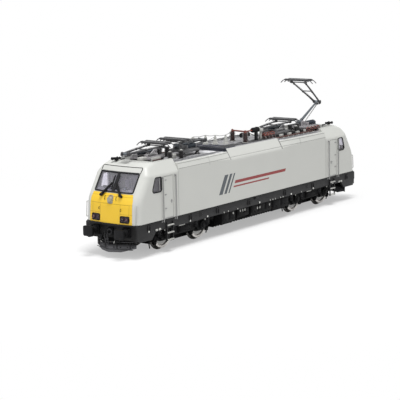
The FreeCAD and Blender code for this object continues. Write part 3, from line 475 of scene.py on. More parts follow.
def smooth_path(points, steps):
    """A curve through the points: on each run the cubic a + b*t + c*t^2 + d*t^3 whose slope at a point is
    half the step between its neighbours."""
    p = np.asarray(points, float)
    p = np.concatenate([[2 * p[0] - p[1]], p, [2 * p[-1] - p[-2]]])
    before, start, end, after = (p[k:len(p) - 3 + k, None, :] for k in range(4))
    t = np.linspace(0.0, 1.0, steps, endpoint=False)[None, :, None]
    b, slope_end = (end - before) / 2, (after - start) / 2
    rise = end - start
    c, d = 3 * rise - 2 * b - slope_end, b + slope_end - 2 * rise
    curve = start + b * t + c * t ** 2 + d * t ** 3
    return np.concatenate([curve.reshape(-1, 3), p[-2:-1]])


def unit(vectors):
    """Vectors, or one vector, made one long."""
    return vectors / np.linalg.norm(vectors, axis=-1, keepdims=True)


def carried(path, section, normals, closed_path=False):
    """A section of (sideways, outwards) points carried along a path: the point is path + sideways * (tangent
    x normal) + outwards * normal. An open path gets flat ends."""
    path, section = np.asarray(path, float), np.asarray(section, float)
    if closed_path:
        tangent = unit(np.roll(path, -1, axis=0) - np.roll(path, 1, axis=0))
    else:
        tangent = unit(np.gradient(path, axis=0))
    normals = unit(normals - (normals * tangent).sum(axis=1)[:, None] * tangent)
    side = np.cross(tangent, normals)
    if section.ndim == 2:
        section = np.broadcast_to(section, (len(path),) + section.shape)
    if not closed_path:
        ends = [end.mean(axis=1, keepdims=True) + end * 0 for end in (section[:1], section[-1:])]
        section = np.concatenate([ends[0], section, ends[1]])
        path, side, normals = (np.concatenate([v[:1], v, v[-1:]]) for v in (path, side, normals))
    points = path[:, None] + section[..., :1] * side[:, None] + section[..., 1:] * normals[:, None]
    faces = faces_of_grid(len(path), section.shape[1], closed_path, True)
    return closed(points.reshape(-1, 3), faces)


def circle(radius, sides):
    """Points evenly round a circle."""
    t = np.linspace(0.0, 2 * np.pi, sides, endpoint=False)
    return np.stack([np.cos(t), np.sin(t)], axis=-1) * radius


def tube(points, radius, sides, steps, normal):
    """A round section carried along the smooth curve through the points."""
    return carried(smooth_path(points, steps), circle(radius, sides), normal)


def band(width, height, bevel=0.08, sunk=0.0):
    """Section of a flat strip with bevelled outer edges, sunk below its path."""
    half = width / 2
    return [(-half, -sunk), (-half, height - bevel), (-half + bevel, height), (half - bevel, height),
            (half, height - bevel), (half, -sunk)]


def rounded_outline(width, height, corner, steps=4):
    """A rectangle with rounded corners, as (x, y) round its middle: in each quarter the corner's centre plus
    corner * (cos t, sin t)."""
    corner = min(corner, width / 2 - 1e-4, height / 2 - 1e-4)
    t = np.linspace(0.0, np.pi / 2, steps)
    t = (t[None, :] + np.arange(4)[:, None] * np.pi / 2).reshape(-1)
    sign_x = np.repeat([1, -1, -1, 1], steps)
    sign_y = np.repeat([1, 1, -1, -1], steps)
    return np.stack([sign_x * (width / 2 - corner) + corner * np.cos(t),
                     sign_y * (height / 2 - corner) + corner * np.sin(t)], axis=-1)


def slab(size, centre, corner, edge, facing, steps=3):
    """A block whose outline is a rounded rectangle square to the axis it faces. The outline is drawn in by
    edge * (1 - sin t) where the rim has risen by edge * (1 - cos t), and closes to a point in the middle of
    both faces."""
    axes = [(facing + 1) % 3, (facing + 2) % 3, facing]
    width, height, depth = (size[a] for a in axes)
    edge = min(edge, depth / 2, width / 4, height / 4)
    t = np.linspace(0.0, np.pi / 2, 3)
    inset = np.concatenate([edge * (1 - np.sin(t)), edge * (1 - np.sin(t[::-1]))])
    level = np.concatenate([edge * (1 - np.cos(t)) - depth / 2, depth / 2 - edge * (1 - np.cos(t[::-1]))])
    rings = [rounded_outline(width - 2 * i, height - 2 * i, max(corner - i, 0.02), steps) for i in inset]
    rings = np.stack([rings[0] * 0] + rings + [rings[-1] * 0])
    level = np.concatenate([level[:1], level, level[-1:]])
    flat = np.concatenate([rings, np.broadcast_to(level[:, None, None], rings.shape[:2] + (1,))], axis=-1)
    points = np.empty_like(flat)
    points[..., axes] = flat
    return closed((points + np.array(centre, float)).reshape(-1, 3),
                  faces_of_grid(len(rings), rings.shape[1], loop_columns=True))


def block(x0, x1, y0, y1, z0, z1, corner, edge, facing=2):
    """A slab given by its limits."""
    size = (x1 - x0, y1 - y0, z1 - z0)
    return slab(size, ((x0 + x1) / 2, (y0 + y1) / 2, (z0 + z1) / 2), corner, edge, facing)


def plate(outline, low, high, edge):
    """A plate square to Y between two limits, from its (x, z) outline. Towards both faces the outline is
    drawn in to its middle by the edge, and it closes to a point there."""
    outline = np.asarray(outline, float)
    middle = outline.mean(axis=0)
    arm = outline - middle
    small = arm * (1 - edge / np.linalg.norm(arm, axis=1, keepdims=True))
    rings = middle + np.stack([arm * 0, small, arm, arm, small, arm * 0])
    level = np.array([low, low, low + edge, high - edge, high, high])[:, None] + np.zeros(len(outline))
    points = np.stack([rings[..., 0], level, rings[..., 1]], axis=-1)
    return closed(points.reshape(-1, 3), faces_of_grid(6, len(outline), loop_columns=True))


def coil(start, end, radius, wire, turns, sides=7):
    """A spring: the path start + t * run + radius * (cos, sin)(2 pi turns t), carried with a round wire."""
    run = np.subtract(end, start)
    side, up, _ = across(run)
    t = np.linspace(0.0, 1.0, int(turns * 14) + 1)[:, None]
    a = 2 * np.pi * turns * t
    out = np.cos(a) * side + np.sin(a) * up
    return carried(start + t * run + radius * out, circle(wire, sides), out)


def bolt(place, direction, size, height):
    """A hexagon head with a domed washer face."""
    return knob(place, direction, 6, (size * 0.62, height * 0.3), (size * 0.5, height * 0.35),
                (size * 0.5, height * 0.9), (size * 0.36, height))


def ribbed_post(place, height, radius, core, pitch, sides=18):
    """An upright post insulator: sheds that hang out from a core once every pitch."""
    step = height / int(height / pitch)
    shed = ((core, 0.12), (radius, 0.42), (radius * 0.97, 0.58), (core, 0.88))
    sheds = [(r, (count + h) * step) for count in range(int(height / pitch)) for r, h in shed]
    return knob(place, Z, sides, (core * 1.15, 0), *sheds, (core * 1.15, height))


# ---- pieces --------------------------------------------------------
SHARP = math.radians(32.0)  # edges that turn more than this show as edges
# the finishes that belong to each slot; the first one is that of the carried-over pieces
FINISHES_OF_SLOT = {
    "body_grey": "body_paint",
    "mask_yellow": "front_paint",
    "glass_clear": "window_clear lens_clear",
    "roof_dark": "hood_grey grille_dark",
    "roof_mid": "deck_grey",
    "wheel_metal": "wheel_dark",
    "frame_black": "frame_dark spring_dark lip_grey bogie_dark",
    "cast_weight": "cast_weight",
    "black": "black_moulding rubber brow_line bellows_blue",
    "rail_grey": "rail_grey pale_moulding tread_grey white_paint",
    "lens": "lamp_block lens_red lamp_dark lamp_pale",
    "wire_metal": "arm_dark arm_blue base_grey base_dark carbon",
    "insulator_black": "post_brown insulator_dark",
    "busbar_red": "bar_red cable_brown",
    "interior_grey": "cab_lining seat_cloth screen_dark",
}


def fit(name, finish, shapes, copies="", body=FIXED):
    """Puts shapes into the scene as one piece with its finish, on its body. Copies are made for both
    "sides", for both "ends", or for both of them."""
    shape = joined(shapes)
    if "sides" in copies:
        shape = shape.both_sides()
    if "ends" in copies:
        shape = shape.both_ends()
    triangle = shape.faces[:, 2] == shape.faces[:, 3]
    faces = shape.faces[~triangle].tolist() + shape.faces[triangle, :3].tolist()
    mesh = bpy.data.meshes.new(name)
    mesh.from_pydata((shape.points * MM).tolist(), [], faces)
    mesh.materials.append(bpy.data.materials[finish])
    mesh.shade_smooth()
    mesh.set_sharp_from_angle(angle=SHARP)
    obj = new_object(name, mesh)
    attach(obj, body)


# ---- stage ---------------------------------------------------------
def aim(heading, down, roll):
    """Right, up and forward of a camera that looks along a heading and down, and is rolled: forward is
    (cos heading cos down, sin heading cos down, -sin down), with the angles in radians."""
    level = math.cos(down)
    forward = Vector((math.cos(heading) * level, math.sin(heading) * level, -math.sin(down)))
    right = Vector((math.sin(heading), -math.cos(heading), 0.0))
    up = right.cross(forward)
    cos, sin = math.cos(roll), math.sin(roll)
    return cos * right + sin * up, cos * up - sin * right, forward


def add_camera(settings):
    """The camera: its place is worked back from the point it aims at."""
    right, up, forward = aim(settings.heading, settings.look_down, settings.roll)
    aside, above = settings.offset
    place = Vector((0.0, 0.0, settings.aim_height)) - aside * right - above * up - settings.distance * forward
    data = bpy.data.cameras.new("camera")
    data.lens = settings.lens
    data.sensor_width = 36.0
    data.clip_start = 0.01
    camera = new_object("camera", data)
    turn = Matrix((right, up, -forward)).transposed().to_4x4()
    camera.matrix_world = Matrix.Translation(place) @ turn
    bpy.context.scene.camera = camera


def add_light(name, place, target, size, power):
    """A round lamp that shines at a target."""
    data = bpy.data.lights.new(name, "AREA")
    data.shape = "DISK"
    data.size = size
    data.energy = power
    light = new_object(name, data)
    light.location = place
    light.rotation_euler = (Vector(target) - Vector(place)).to_track_quat("-Z", "Y").to_euler()


def add_world(strength):
    """White all round: at full strength where it is seen, mirrored or looked at through glass, and at its own
    strength as light."""
    world = bpy.data.worlds.new("sky")
    bpy.context.scene.world = world
    g = Graph(world)
    rays = g.node("ShaderNodeLightPath").outputs("Is Camera Ray", "Is Glossy Ray", "Is Transmission Ray")
    shown = (rays[0] + rays[1] + rays[2]).clamped()
    level = shown * (1.0 - strength) + strength
    g.surface(g.node("ShaderNodeBackground", None, {"Color": (1.0, 1.0, 1.0), "Strength": level}))


def floor_finish():
    """Pale floor that fades to white away from the object. To the camera it is partly white all over."""
    g = new_graph("floor")
    x, y, _ = g.axes()
    far = (x * x + y * y).math("SQRT").step(60.0, 260.0)
    seen = g.node("ShaderNodeLightPath", out="Is Camera Ray")
    pale = g.node("ShaderNodeBsdfDiffuse", None, {"Color": (0.75, 0.75, 0.75)})
    white = g.node("ShaderNodeEmission", None, {"Color": (1.0, 1.0, 1.0), "Strength": 1.0})
    return g.surface(g.node("ShaderNodeMixShader", None, {0: (far * 0.6 + 0.4) * seen, 1: pale, 2: white}))


def add_floor():
    """A flat grid 12 m across, level with the lowest point of the locomotive."""
    rows = np.linspace(-6, 6, 25)
    x, y = np.meshgrid(rows, rows, indexing="ij")
    points = np.stack([x, y, np.full_like(x, CAD_BOX[0][2])], axis=-1).reshape(-1, 3)
    mesh = bpy.data.meshes.new("floor")
    mesh.from_pydata(points.tolist(), [], faces_of_grid(len(rows), len(rows)).tolist())
    mesh.materials.append(floor_finish())
    new_object("floor", mesh)


# ---- the curved front ----------------------------------------------
def filleted(corners, closed_path=False):
    """Points of a path with (x, z, radius) corners. At each bend it follows the arc that touches both runs:
    centre + (sin((1 - t) a) * first + sin(t a) * last) / sin a, where a is the angle turned through."""
    corners = [np.array(corner, float) for corner in corners]
    if closed_path:
        corners = [corners[-1]] + corners + [corners[0]]
    points = [] if closed_path else [corners[0][:2]]
    t = np.linspace(0.0, 1.0, 6)[:, None]
    for before, here, after in zip(corners, corners[1:], corners[2:]):
        back, on = unit(before[:2] - here[:2]), unit(after[:2] - here[:2])
        half = math.acos(float(back @ on)) / 2
        run = here[2] / math.tan(half)
        centre = here[:2] + unit(back + on) * here[2] / math.sin(half)
        first, last = here[:2] + back * run - centre, here[:2] + on * run - centre
        angle = math.pi - 2 * half
        points.extend(centre + (np.sin((1 - t) * angle) * first + np.sin(t * angle) * last) / math.sin(angle))
    if not closed_path:
        points.append(corners[-1][:2])
    return np.array(points)


def evenly(path, spacing, closed_path=True):
    """The same path with its points an even distance apart."""
    path = np.asarray(path, float)
    if closed_path:
        path = np.concatenate([path, path[:1]])
    gone = np.concatenate([[0.0], np.cumsum(np.linalg.norm(np.diff(path, axis=0), axis=1))])
    at = np.linspace(0.0, gone[-1], max(int(gone[-1] / spacing), 2) + 1)
    if closed_path:
        at = at[:-1]
    return np.stack([np.interp(at, gone, column) for column in path.T], axis=-1)


KINK = (END - 6.0, SILL + 11.6)
SCREEN_TOP = (END - 13.9, SILL + 24.2)
BROW = (END - 16.2, SILL + 27.2)
NOSE = filleted([(END - 3.75, 0.0, 0.0), KINK + (14.0,), SCREEN_TOP + (7.0,), BROW + (4.0,),
                 (BROW[0] - 12.4, BROW[1] + 4.3, 0.0)])
NOSE_AXIS = END - 103.75
SCREEN_Y = HALF_WIDTH - 4.8
SCREEN_LOW, SCREEN_HIGH = SILL + 15.1, SILL + 24.2


def front_x(y, z):
    """The front is its outline turned about an upright axis: x = axis + sqrt(r(z)^2 - y^2)."""
    radius = np.interp(z, NOSE[:, 1], NOSE[:, 0]) - NOSE_AXIS
    return NOSE_AXIS + np.sqrt(radius ** 2 - np.square(y))


def on_front(y, z, off=0.0):
    """Points of the front at (y, z), moved off it, with its normals (1, -dx/dy, -dx/dz)."""
    y, z = np.broadcast_arrays(np.asarray(y, float), np.asarray(z, float))
    h = 0.05
    slope_y = (front_x(y + h, z) - front_x(y - h, z)) / (2 * h)
    slope_z = (front_x(y, z + h) - front_x(y, z - h)) / (2 * h)
    normal = unit(np.stack([np.ones_like(y), -slope_y, -slope_z], axis=-1))
    return np.stack([front_x(y, z), y, z], axis=-1) + normal * off, normal


def front_ring(y, z, width, height, corner, section, spacing=0.7):
    """A section carried round a rounded rectangle on the front, centred at (y, z)."""
    outline = evenly(rounded_outline(width, height, corner), spacing) + (y, z)
    path, normals = on_front(*outline.T)
    return carried(path, section, normals, True)


def front_strip(points, section, off=0.0, spacing=0.5):
    """A section carried along a line of (y, z) points on the front."""
    path, normals = on_front(*evenly(points, spacing, False).T, off)
    return carried(path, section, normals)


def screen_frames():
    """Gasket, pillar between the two panes and the dark outline over the brow."""
    gasket = front_ring(0, (SCREEN_LOW + SCREEN_HIGH) / 2, 2 * SCREEN_Y - 0.1, SCREEN_HIGH - SCREEN_LOW - 0.1,
                        0.45, band(0.8, 0.2, sunk=0.45))
    pillar = front_strip([(0, SCREEN_LOW), (0, SCREEN_HIGH)], band(1.5, 0.18, sunk=0.4))
    fit("screen_gaskets", "rubber", [gasket, pillar], "ends")
    y, top = SCREEN_Y + 0.35, SCREEN_HIGH + 2.6
    half = [(-y + 0.1, SCREEN_HIGH - 0.2), (-y - 0.1, top - 0.5), (-y + 0.3, top)]
    brow = front_strip(half + [(-a, b) for a, b in half[::-1]], band(0.42, 0.05, 0.02, sunk=0.2), spacing=0.4)
    fit("brow_outlines", "brow_line", [brow], "ends")


def side_window_frames():
    """Gasket round each side window, and the light frame of the sliding pane."""
    inset = 0.15
    x0, x1 = END - 25.6 + inset, END - 17.8 - inset
    z0, z1 = CANT - 8.4 + inset, CANT - 0.8 - inset
    corners = [(x0, z0), (x1, z0), (x1 - 1.0, z0 + 3.0), (x1 - 2.6, z1), (x0, z1)]
    outline = evenly(filleted([corner + (1.3 - inset * 0.5,) for corner in corners], True), 0.4)
    gasket = carried(np.insert(outline, 1, HALF_WIDTH, axis=1), band(0.6, 0.14, sunk=0.4), Y, True)
    fit("side_gaskets", "rubber", [gasket], "sides ends")
    x = END - 24.1
    post = block(x - 0.28, x + 0.28, HALF_WIDTH - 0.45, HALF_WIDTH - 0.02, CANT - 8.0, CANT - 1.2, 0.1, 0.06)
    fit("sliding_frames", "rail_grey", [post], "sides ends")


LAMP_Y = (HALF_WIDTH - 9.1, HALF_WIDTH - 6.5)
LAMP_Z = SILL + 2.4
LAMP_X = END - 5.3


def lamp_details():
    """Rims, reflector rings and domed lenses of the two lamps in each cluster, and of the upper lamp."""
    rim = front_ring(sum(LAMP_Y) / 2, LAMP_Z, 5.3, 3.1, 0.5, band(0.45, 0.14, 0.05, sunk=0.2), 0.4)
    fit("lamp_rims", "black_moulding", [rim], "sides ends")
    ring = [(0.72, 0), (1.0, 0), (1.02, 0.2), (0.9, 0.32), (0.72, 0.1)]
    dome = [(0, -0.1), (0.76, -0.1), (0.76, 0.04), (0.6, 0.16), (0.34, 0.24), (0, 0.27)]
    fit("lamp_rings", "lamp_dark", [lathe(ring, (LAMP_X, y, LAMP_Z), X) for y in LAMP_Y], "sides ends")
    for y, name, finish in zip(LAMP_Y, ("headlight_lenses", "tail_lenses"), ("lens_clear", "lens_red")):
        fit(name, finish, [lathe(dome, (LAMP_X, y, LAMP_Z), X)], "sides ends")
    frame = front_ring(0, KINK[1] + 0.1, 2.5, 3.7, 0.8, band(0.5, 0.42, 0.12, sunk=0.3), 0.35)
    place, normal = on_front(0, KINK[1] + 0.1, 0.1)
    glass = lathe([(0, -0.3), (1.0, -0.3), (1.0, 0.04), (0.7, 0.2), (0, 0.28)], (0, 0, 0), X, 24)
    glass = Shape(glass.points * (1.0, 1.0, 1.6), glass.faces)
    glass = glass.turned("y", -math.degrees(math.atan2(normal[2], normal[0]))).moved(*place)
    fit("upper_lamps", "lamp_pale", [frame, glass], "ends")


def front_handles():
    """Small upright grips beside the upper lamp and hinges of the hatch under it."""
    grips = []
    for y, low, high in ((3.6, SILL + 11.4, SILL + 13.0), (6.9, SILL + 6.4, SILL + 7.5)):
        line = ((low, 0), (low + 0.15, 0.55), (high - 0.15, 0.55), (high, 0))
        grips.append(tube([on_front(y, z, off)[0] for z, off in line], 0.12, 7, 4, Y))
    fit("front_grips", "black_moulding", grips, "sides ends")


def wiper_details():
    """Sleeves over the wiper arms, the second link beside each arm, pivot caps, and rubbers on the blades."""
    foot_y, foot_z = 6.4, SCREEN_LOW - 1.8
    elbow = (1.6, foot_z + 5.4)
    path, normals = on_front(*evenly([(foot_y, foot_z), elbow], 0.6, False).T, 0.62)
    taper = np.linspace(1.0, 0.78, len(path))[:, None, None] * (1.0, 0.0) + (0.0, 1.0)
    link = [(foot_y - 0.9, foot_z + 0.1), (elbow[0] + 0.1, elbow[1] - 1.4)]
    arms = [carried(path, np.array(band(1.0, 0.62, 0.12)) * taper, normals),
            front_strip(link, circle(0.16, 6), 0.8)]
    for y, z, radius in ((foot_y, foot_z, 0.72), (foot_y - 0.95, foot_z + 0.05, 0.36), elbow + (0.42,)):
        arms.append(knob(*on_front(y, z, 0.3), 16, (radius, 0.9), (radius * 0.7, 1.1), top=1.15))
    fit("wiper_arms", "black_moulding", arms, "sides ends")
    low, high = np.array((1.15, foot_z + 2.4)), np.array((1.5, foot_z + 9.3))
    fit("wiper_rubbers", "rubber", [
        front_strip([low, high], band(0.34, 0.5, 0.1), 0.16),
        front_strip([low + (0, 0.8), high - (0, 0.8)], band(0.6, 0.2, 0.05), 0.62)], "sides ends")


# ---- doors and side walls ------------------------------------------
DOOR_X = (END - 36.2, END - 25.9)
HINGE_Z = (SILL + 5.3, SILL + 12.3, SILL + 19.6)


def door_details():
    """Hinges, lever handle with its plate, lock and sill strip of a side door."""
    y = HALF_WIDTH
    x = DOOR_X[1] - 2.9
    fit("door_hinges", "rail_grey", [part for z in HINGE_Z for part in (
        block(x - 0.55, x + 0.55, y - 0.05, y + 0.16, z - 0.24, z + 0.24, 0.1, 0.06, 1),
        bar((x + 0.75, y + 0.1, z - 0.4), (x + 0.75, y + 0.1, z + 0.4), 0.16, 8))], "sides ends")
    x = DOOR_X[0] + 3.0
    z = SILL + 8.4
    fit("door_handles", "rail_grey", [
        block(x - 0.4, x + 0.4, y - 0.05, y + 0.1, z - 0.9, z + 0.9, 0.2, 0.05, 1),
        tube([(x, y + 0.1, z + 0.2), (x, y + 0.5, z + 0.2), (x + 1.3, y + 0.5, z + 0.15)], 0.15, 8, 4, Z),
        knob((x, y + 0.08, z - 0.5), Y, 12, (0.22, 0.1), top=0.14),
        block(DOOR_X[0] + 1.9, DOOR_X[1] - 1.6, y - 0.05, y + 0.22, SILL + 0.15, SILL + 0.55, 0.1, 0.08, 1)],
        "sides ends")


def rail_feet():
    """Pads and nuts where the upright rails meet the wall and the sole bar."""
    feet = []
    for x in DOOR_X:
        for z, y in ((SILL - 0.9, SKIRT_Y), (CANT - 1.5, HALF_WIDTH)):
            feet.append(block(x - 0.45, x + 0.45, y - 0.05, y + 0.16, z - 0.5, z + 0.5, 0.2, 0.06, 1))
            feet.append(bolt((x, y + 0.7, z), Y, 0.42, 0.36))
    fit("rail_feet", "rail_grey", feet, "sides ends")


# ---- buffer beam ---------------------------------------------------
def buffer_details():
    """Crowned face, collars round the ram and the sleeve, and nuts at the corners of the base plate."""
    face = slab((0.5, 5.7, 4.7), (END - 0.18, BUFFER_Y, BUFFER_Z), 0.8, 0.2, 0, 4)
    fit("buffer_faces", "black_moulding", [face], "sides ends")
    rings = [knob((x, 0, 0), X, 28, (r - 0.1, 0), (r, 0.1), (r, width - 0.1), (r - 0.1, width))
             for x, r, width in ((END - 2.75, 1.62, 0.5), (END - 3.35, 2.12, 0.4), (END - 4.9, 2.06, 0.35))]
    nuts = [bolt((BEAM_X + 0.58, y, z), X, 0.72, 0.5) for y in (-2.1, 2.1) for z in (-1.8, 1.8)]
    fit("buffer_rings", "bogie_dark", [joined(rings + nuts).moved(0, BUFFER_Y, BUFFER_Z)], "sides ends")


def coupling_details():
    """Screw link hung on the draw hook, hose heads, sockets with their short hoses and the beam's bolts."""
    x, z = BEAM_X, BUFFER_Z
    fit("screw_links", "spring_dark", [
        *(tube([(x + 3.9, y, z + 0.2), (x + 4.2, y, z - 1.2), (x + 3.6, y, z - 3.2)], 0.24, 8, 5, Y)
          for y in (-0.85, 0.85)),
        bar((x + 3.6, -1.3, z - 3.2), (x + 3.6, 1.3, z - 3.2), 0.42, 12),
        bar((x + 3.9, -1.15, z + 0.25), (x + 3.9, 1.15, z + 0.25), 0.3, 10),
        tube([(x + 3.6, -0.7, z - 3.3), (x + 3.3, -0.75, z - 5.2), (x + 3.2, 0, z - 6.0),
              (x + 3.3, 0.75, z - 5.2), (x + 3.6, 0.7, z - 3.3)], 0.26, 8, 5, X),
        lathe([(0.9, 0), (1.5, 0), (1.6, 0.25), (1.5, 0.5), (0.9, 0.5)], (x + 1.0, 0, z), X)], "ends")
    head = (0.5, 0), (0.62, 0.3), (0.62, 0.8), (0.5, 1.0)
    fit("hose_heads", "tread_grey", [knob((x + 1.1, y - 0.9, z - 5.3), (-0.45, -0.9, 0.2), 12, *head)
                                     for y in (4.2, -4.2)], "ends")
    sockets = []
    for side in (1, -1):
        y = side * 6.1
        sockets += [
            block(x, x + 0.9, y - 0.8, y + 0.8, z - 3.4, z - 1.9, 0.3, 0.15, 0),
            knob((x + 0.8, y, z - 2.65), X, 16, (0.6, 0), (0.66, 0.5), (0.5, 0.6)),
            tube([(x + 0.6, y, z - 3.4), (x + 1.1, side * 5.9, z - 4.6), (x + 0.6, side * 5.6, z - 5.2),
                  (x + 0.1, side * 5.4, z - 4.4)], 0.3, 8, 5, Y)]
        sockets += [bolt((x, side * y, z + dz), X, 0.42, 0.22)
                    for y in (2.6, 5.4, 13.4) for dz in (-2.9, 2.6)]
    fit("beam_sockets", "black_moulding", sockets, "ends")


def plough_details():
    """A rubbing strip along the toe, bolts, and two ribs behind each blade's top edge."""
    half = HALF_WIDTH - 4.7
    tip = END - 4.2
    sweep = 0.4435  # how far the blades run back for each millimetre sideways
    normal = (1.0, sweep, 0.0)
    strips = []
    places = (0.7 - half, -half / 2, 0.0, half / 2, half - 0.7)
    for z, off, size in ((4.35, 0.62, 0.34), (8.2, 0.14, 0.30)):
        strips.append(carried([(tip + off - sweep * abs(y), y, z) for y in places],
                              band(size, size * 0.55, 0.05), X))
    fit("plough_strips", "lip_grey", strips, "ends")
    nuts = [bolt((tip - sweep * y, y, z), normal, 0.5, 0.3)
            for y in (2.2, 5.4, 8.6, 11.2) for z in (5.6, 7.2)]
    ribs = [carried([(tip - sweep * y + 0.1, y, z) for z in (4.9, 7.9)], band(0.35, 0.3, 0.05), normal)
            for y in (3.8, 10.0)]
    fit("plough_bolts", "frame_dark", nuts + ribs, "sides ends")


# ---- underframe ----------------------------------------------------
def sole_bar_details():
    """Brackets, a seam, bolts, louvres, sand fillers, clips and white marks along both sole bars."""
    y, low = SKIRT_Y, SILL - 5.1
    dark = []
    for x in (-93.3, -59.8, -36.5, -8.0, 27.0, 56.0, 93.3):
        dark += [block(x + dx - 0.2, x + dx + 0.2, y - 0.05, y + 0.4, low + 0.9, low + 3.9, 0.1, 0.1, 1)
                 for dx in (-0.9, 0.9)]
        dark.append(bar((x - 1.0, y + 0.24, low + 3.3), (x + 1.0, y + 0.24, low + 3.3), 0.18, 8))
    dark.append(block(-2.6, 0.0, y - 0.05, y + 0.75, SILL - 1.5, SILL - 0.25, 0.25, 0.12, 1))
    dark.append(block(-2.9, 0.3, y - 0.05, y + 0.45, SILL - 1.9, SILL - 1.6, 0.1, 0.08, 1))
    dark.append(carried(along((-72.0, 0.0, 72.0), y + 0.12, SILL - 0.55), band(0.3, 0.14, 0.05), Y))
    dark.append(bolt((0, y, low + 2.4), Y, 0.34, 0.16).stamped(along(range(-70, 72, 5))))
    dark += [block(x, x + 3.4, y - 0.05, y + 0.1, low + 2.9, low + 3.15, 0.1, 0.04, 1).moved(z=0.42 * k)
             for x in (-52.5, 48.6) for k in range(-3, 3)]
    fit("sole_bar_brackets", "frame_dark", dark, "sides")
    fillers = []
    for x in (-87.4, -84.9, 84.9, 87.4):
        fillers.append(block(x - 0.85, x + 0.85, y - 0.4, y + 0.35, low + 0.1, low + 1.15, 0.3, 0.15, 1))
        fillers.append(knob((x, y + 0.3, low + 0.7), Y, 12, (0.42, 0), (0.46, 0.16), (0.3, 0.3)))
    clip = block(-0.3, 0.3, y - 0.1, y + 0.2, low + 0.15, low + 0.85, 0.12, 0.08, 1)
    clips = clip.stamped(along((-30.8, -27.0, -18.5, 12.4, 15.0, 17.4, 22.6, 25.0, 44.0)))
    fit("sand_fillers", "tread_grey", fillers + [clips], "sides")
    mark = knob((0, y, low + 0.75), Y, 14, (0.46, 0.1), (0.3, 0.22), top=0.24)
    marks = mark.stamped(along((-93.3, -60.0, -45.2, 2.2, 33.5, 56.6, 78.0)))
    fit("jacking_marks", "white_paint", [marks], "sides")


def step_details():
    """Anti-slip treads with turned-up front edges, and rungs' end bolts, on the steps under the doors."""
    x0, x1 = END - 34.4, END - 29.0
    y = HALF_WIDTH + 0.2
    treads = []
    for z in (SILL - 3.35, SILL - 7.15, 6.65):
        treads.append(block(x0 + 0.2, x1 - 0.2, y - 0.6, y + 0.15, z, z + 0.14, 0.1, 0.05))
        treads.append(block(x0 + 0.1, x1 - 0.1, y + 0.02, y + 0.2, z - 0.45, z + 0.2, 0.08, 0.06, 1))
        ridge = block(0, 0.22, y - 0.55, y, z + 0.1, z + 0.24, 0.05, 0.04)
        treads.append(ridge.stamped(along(x0 + 0.5 + 0.55 * np.arange(8))))
    fit("step_treads", "tread_grey", treads, "sides ends")
    nuts = [bolt((x, SKIRT_Y + 0.5, SILL - z), Y, 0.4, 0.2) for x in (x0 + 0.3, x1 - 0.3) for z in (2.3, 4.4)]
    fit("step_bolts", "frame_dark", nuts, "sides ends")


def tank_details():
    """Lids, hinges and latches of the boxes, cooling fins, drain plugs and pipes under the floor."""
    lids, pipes = [], []
    y = HALF_WIDTH - 1.7
    end = BOGIE_X - 29.85
    boxes = ((-1.08, -0.545, 6.2), (-0.513, 0.153, 6.6), (0.213, 0.567, 7.4), (0.633, 1.033, 6.2))
    for first, last, low in boxes:
        x0, x1 = first * end, last * end
        count = max(int(round((x1 - x0) / 7.0)), 1)
        step = (x1 - x0) / count
        a, b = 0.45, step - 0.45
        middle = step / 2
        lid = joined([
            block(a, b, y - 0.1, y + 0.2, low + 1.5, 12.0, 0.4, 0.12, 1),
            block(a + 0.5, b - 0.5, y + 0.1, y + 0.32, low + 2.0, 11.5, 0.3, 0.1, 1),
            block(middle - 0.35, middle + 0.35, y + 0.25, y + 0.5, low + 1.75, low + 2.3, 0.12, 0.08, 1),
            *(bolt((x, y + 0.2, z), Y, 0.3, 0.16) for x in (a + 0.3, b - 0.3) for z in (low + 1.9, 11.6))])
        lids.append(lid.stamped(along(x0 + step * np.arange(count))))
        pipes.append(bar((x0 + 1.0, y - 2.0, low - 0.5), (x1 - 1.0, y - 2.0, low - 0.5), 0.38, 10))
        pipes += [block(x - 0.3, x + 0.3, y - 2.5, y - 1.5, low - 0.9, low + 0.2, 0.15, 0.08)
                  for x in (x0 + 2.0, x1 - 2.0)]
    fit("box_lids", "bogie_dark", lids, "ends")
    latch = block(-0.42, 0.42, y + 0.2, y + 0.5, -0.75, 0.55, 0.3, 0.1, 1)
    fit("box_latches", "tread_grey", [latch.stamped(along(places, z=z)) for places, z in (
        ((-1.2, -3.6), 10.2), ((-12.9,), 10.4), ((10.6, 12.7, 14.9), 11.2), ((21.4,), 11.0))], "ends")
    fin = block(-0.16, 0.16, 9.5, 10.1, 4.9, 11.2, 0.1, 0.08)
    belly = block(-0.2, 0.2, -7.4, 7.4, 3.3, 4.0, 0.1, 0.1)
    plug = knob((0, 3.0, 3.9), -Z, 12, (0.9, 0.3), (0.5, 0.4), (0.5, 0.8))
    fit("floor_pipes", "bogie_dark", [
        joined(pipes).both_ends(),
        fin.stamped(along(np.arange(1.0 - end, end - 0.5, 0.95))).both_sides(),
        belly.stamped(along(np.arange(2.0 - end, end - 1.5, 2.4))),
        plug.stamped(along((6.2 - end, end - 6.2)))])


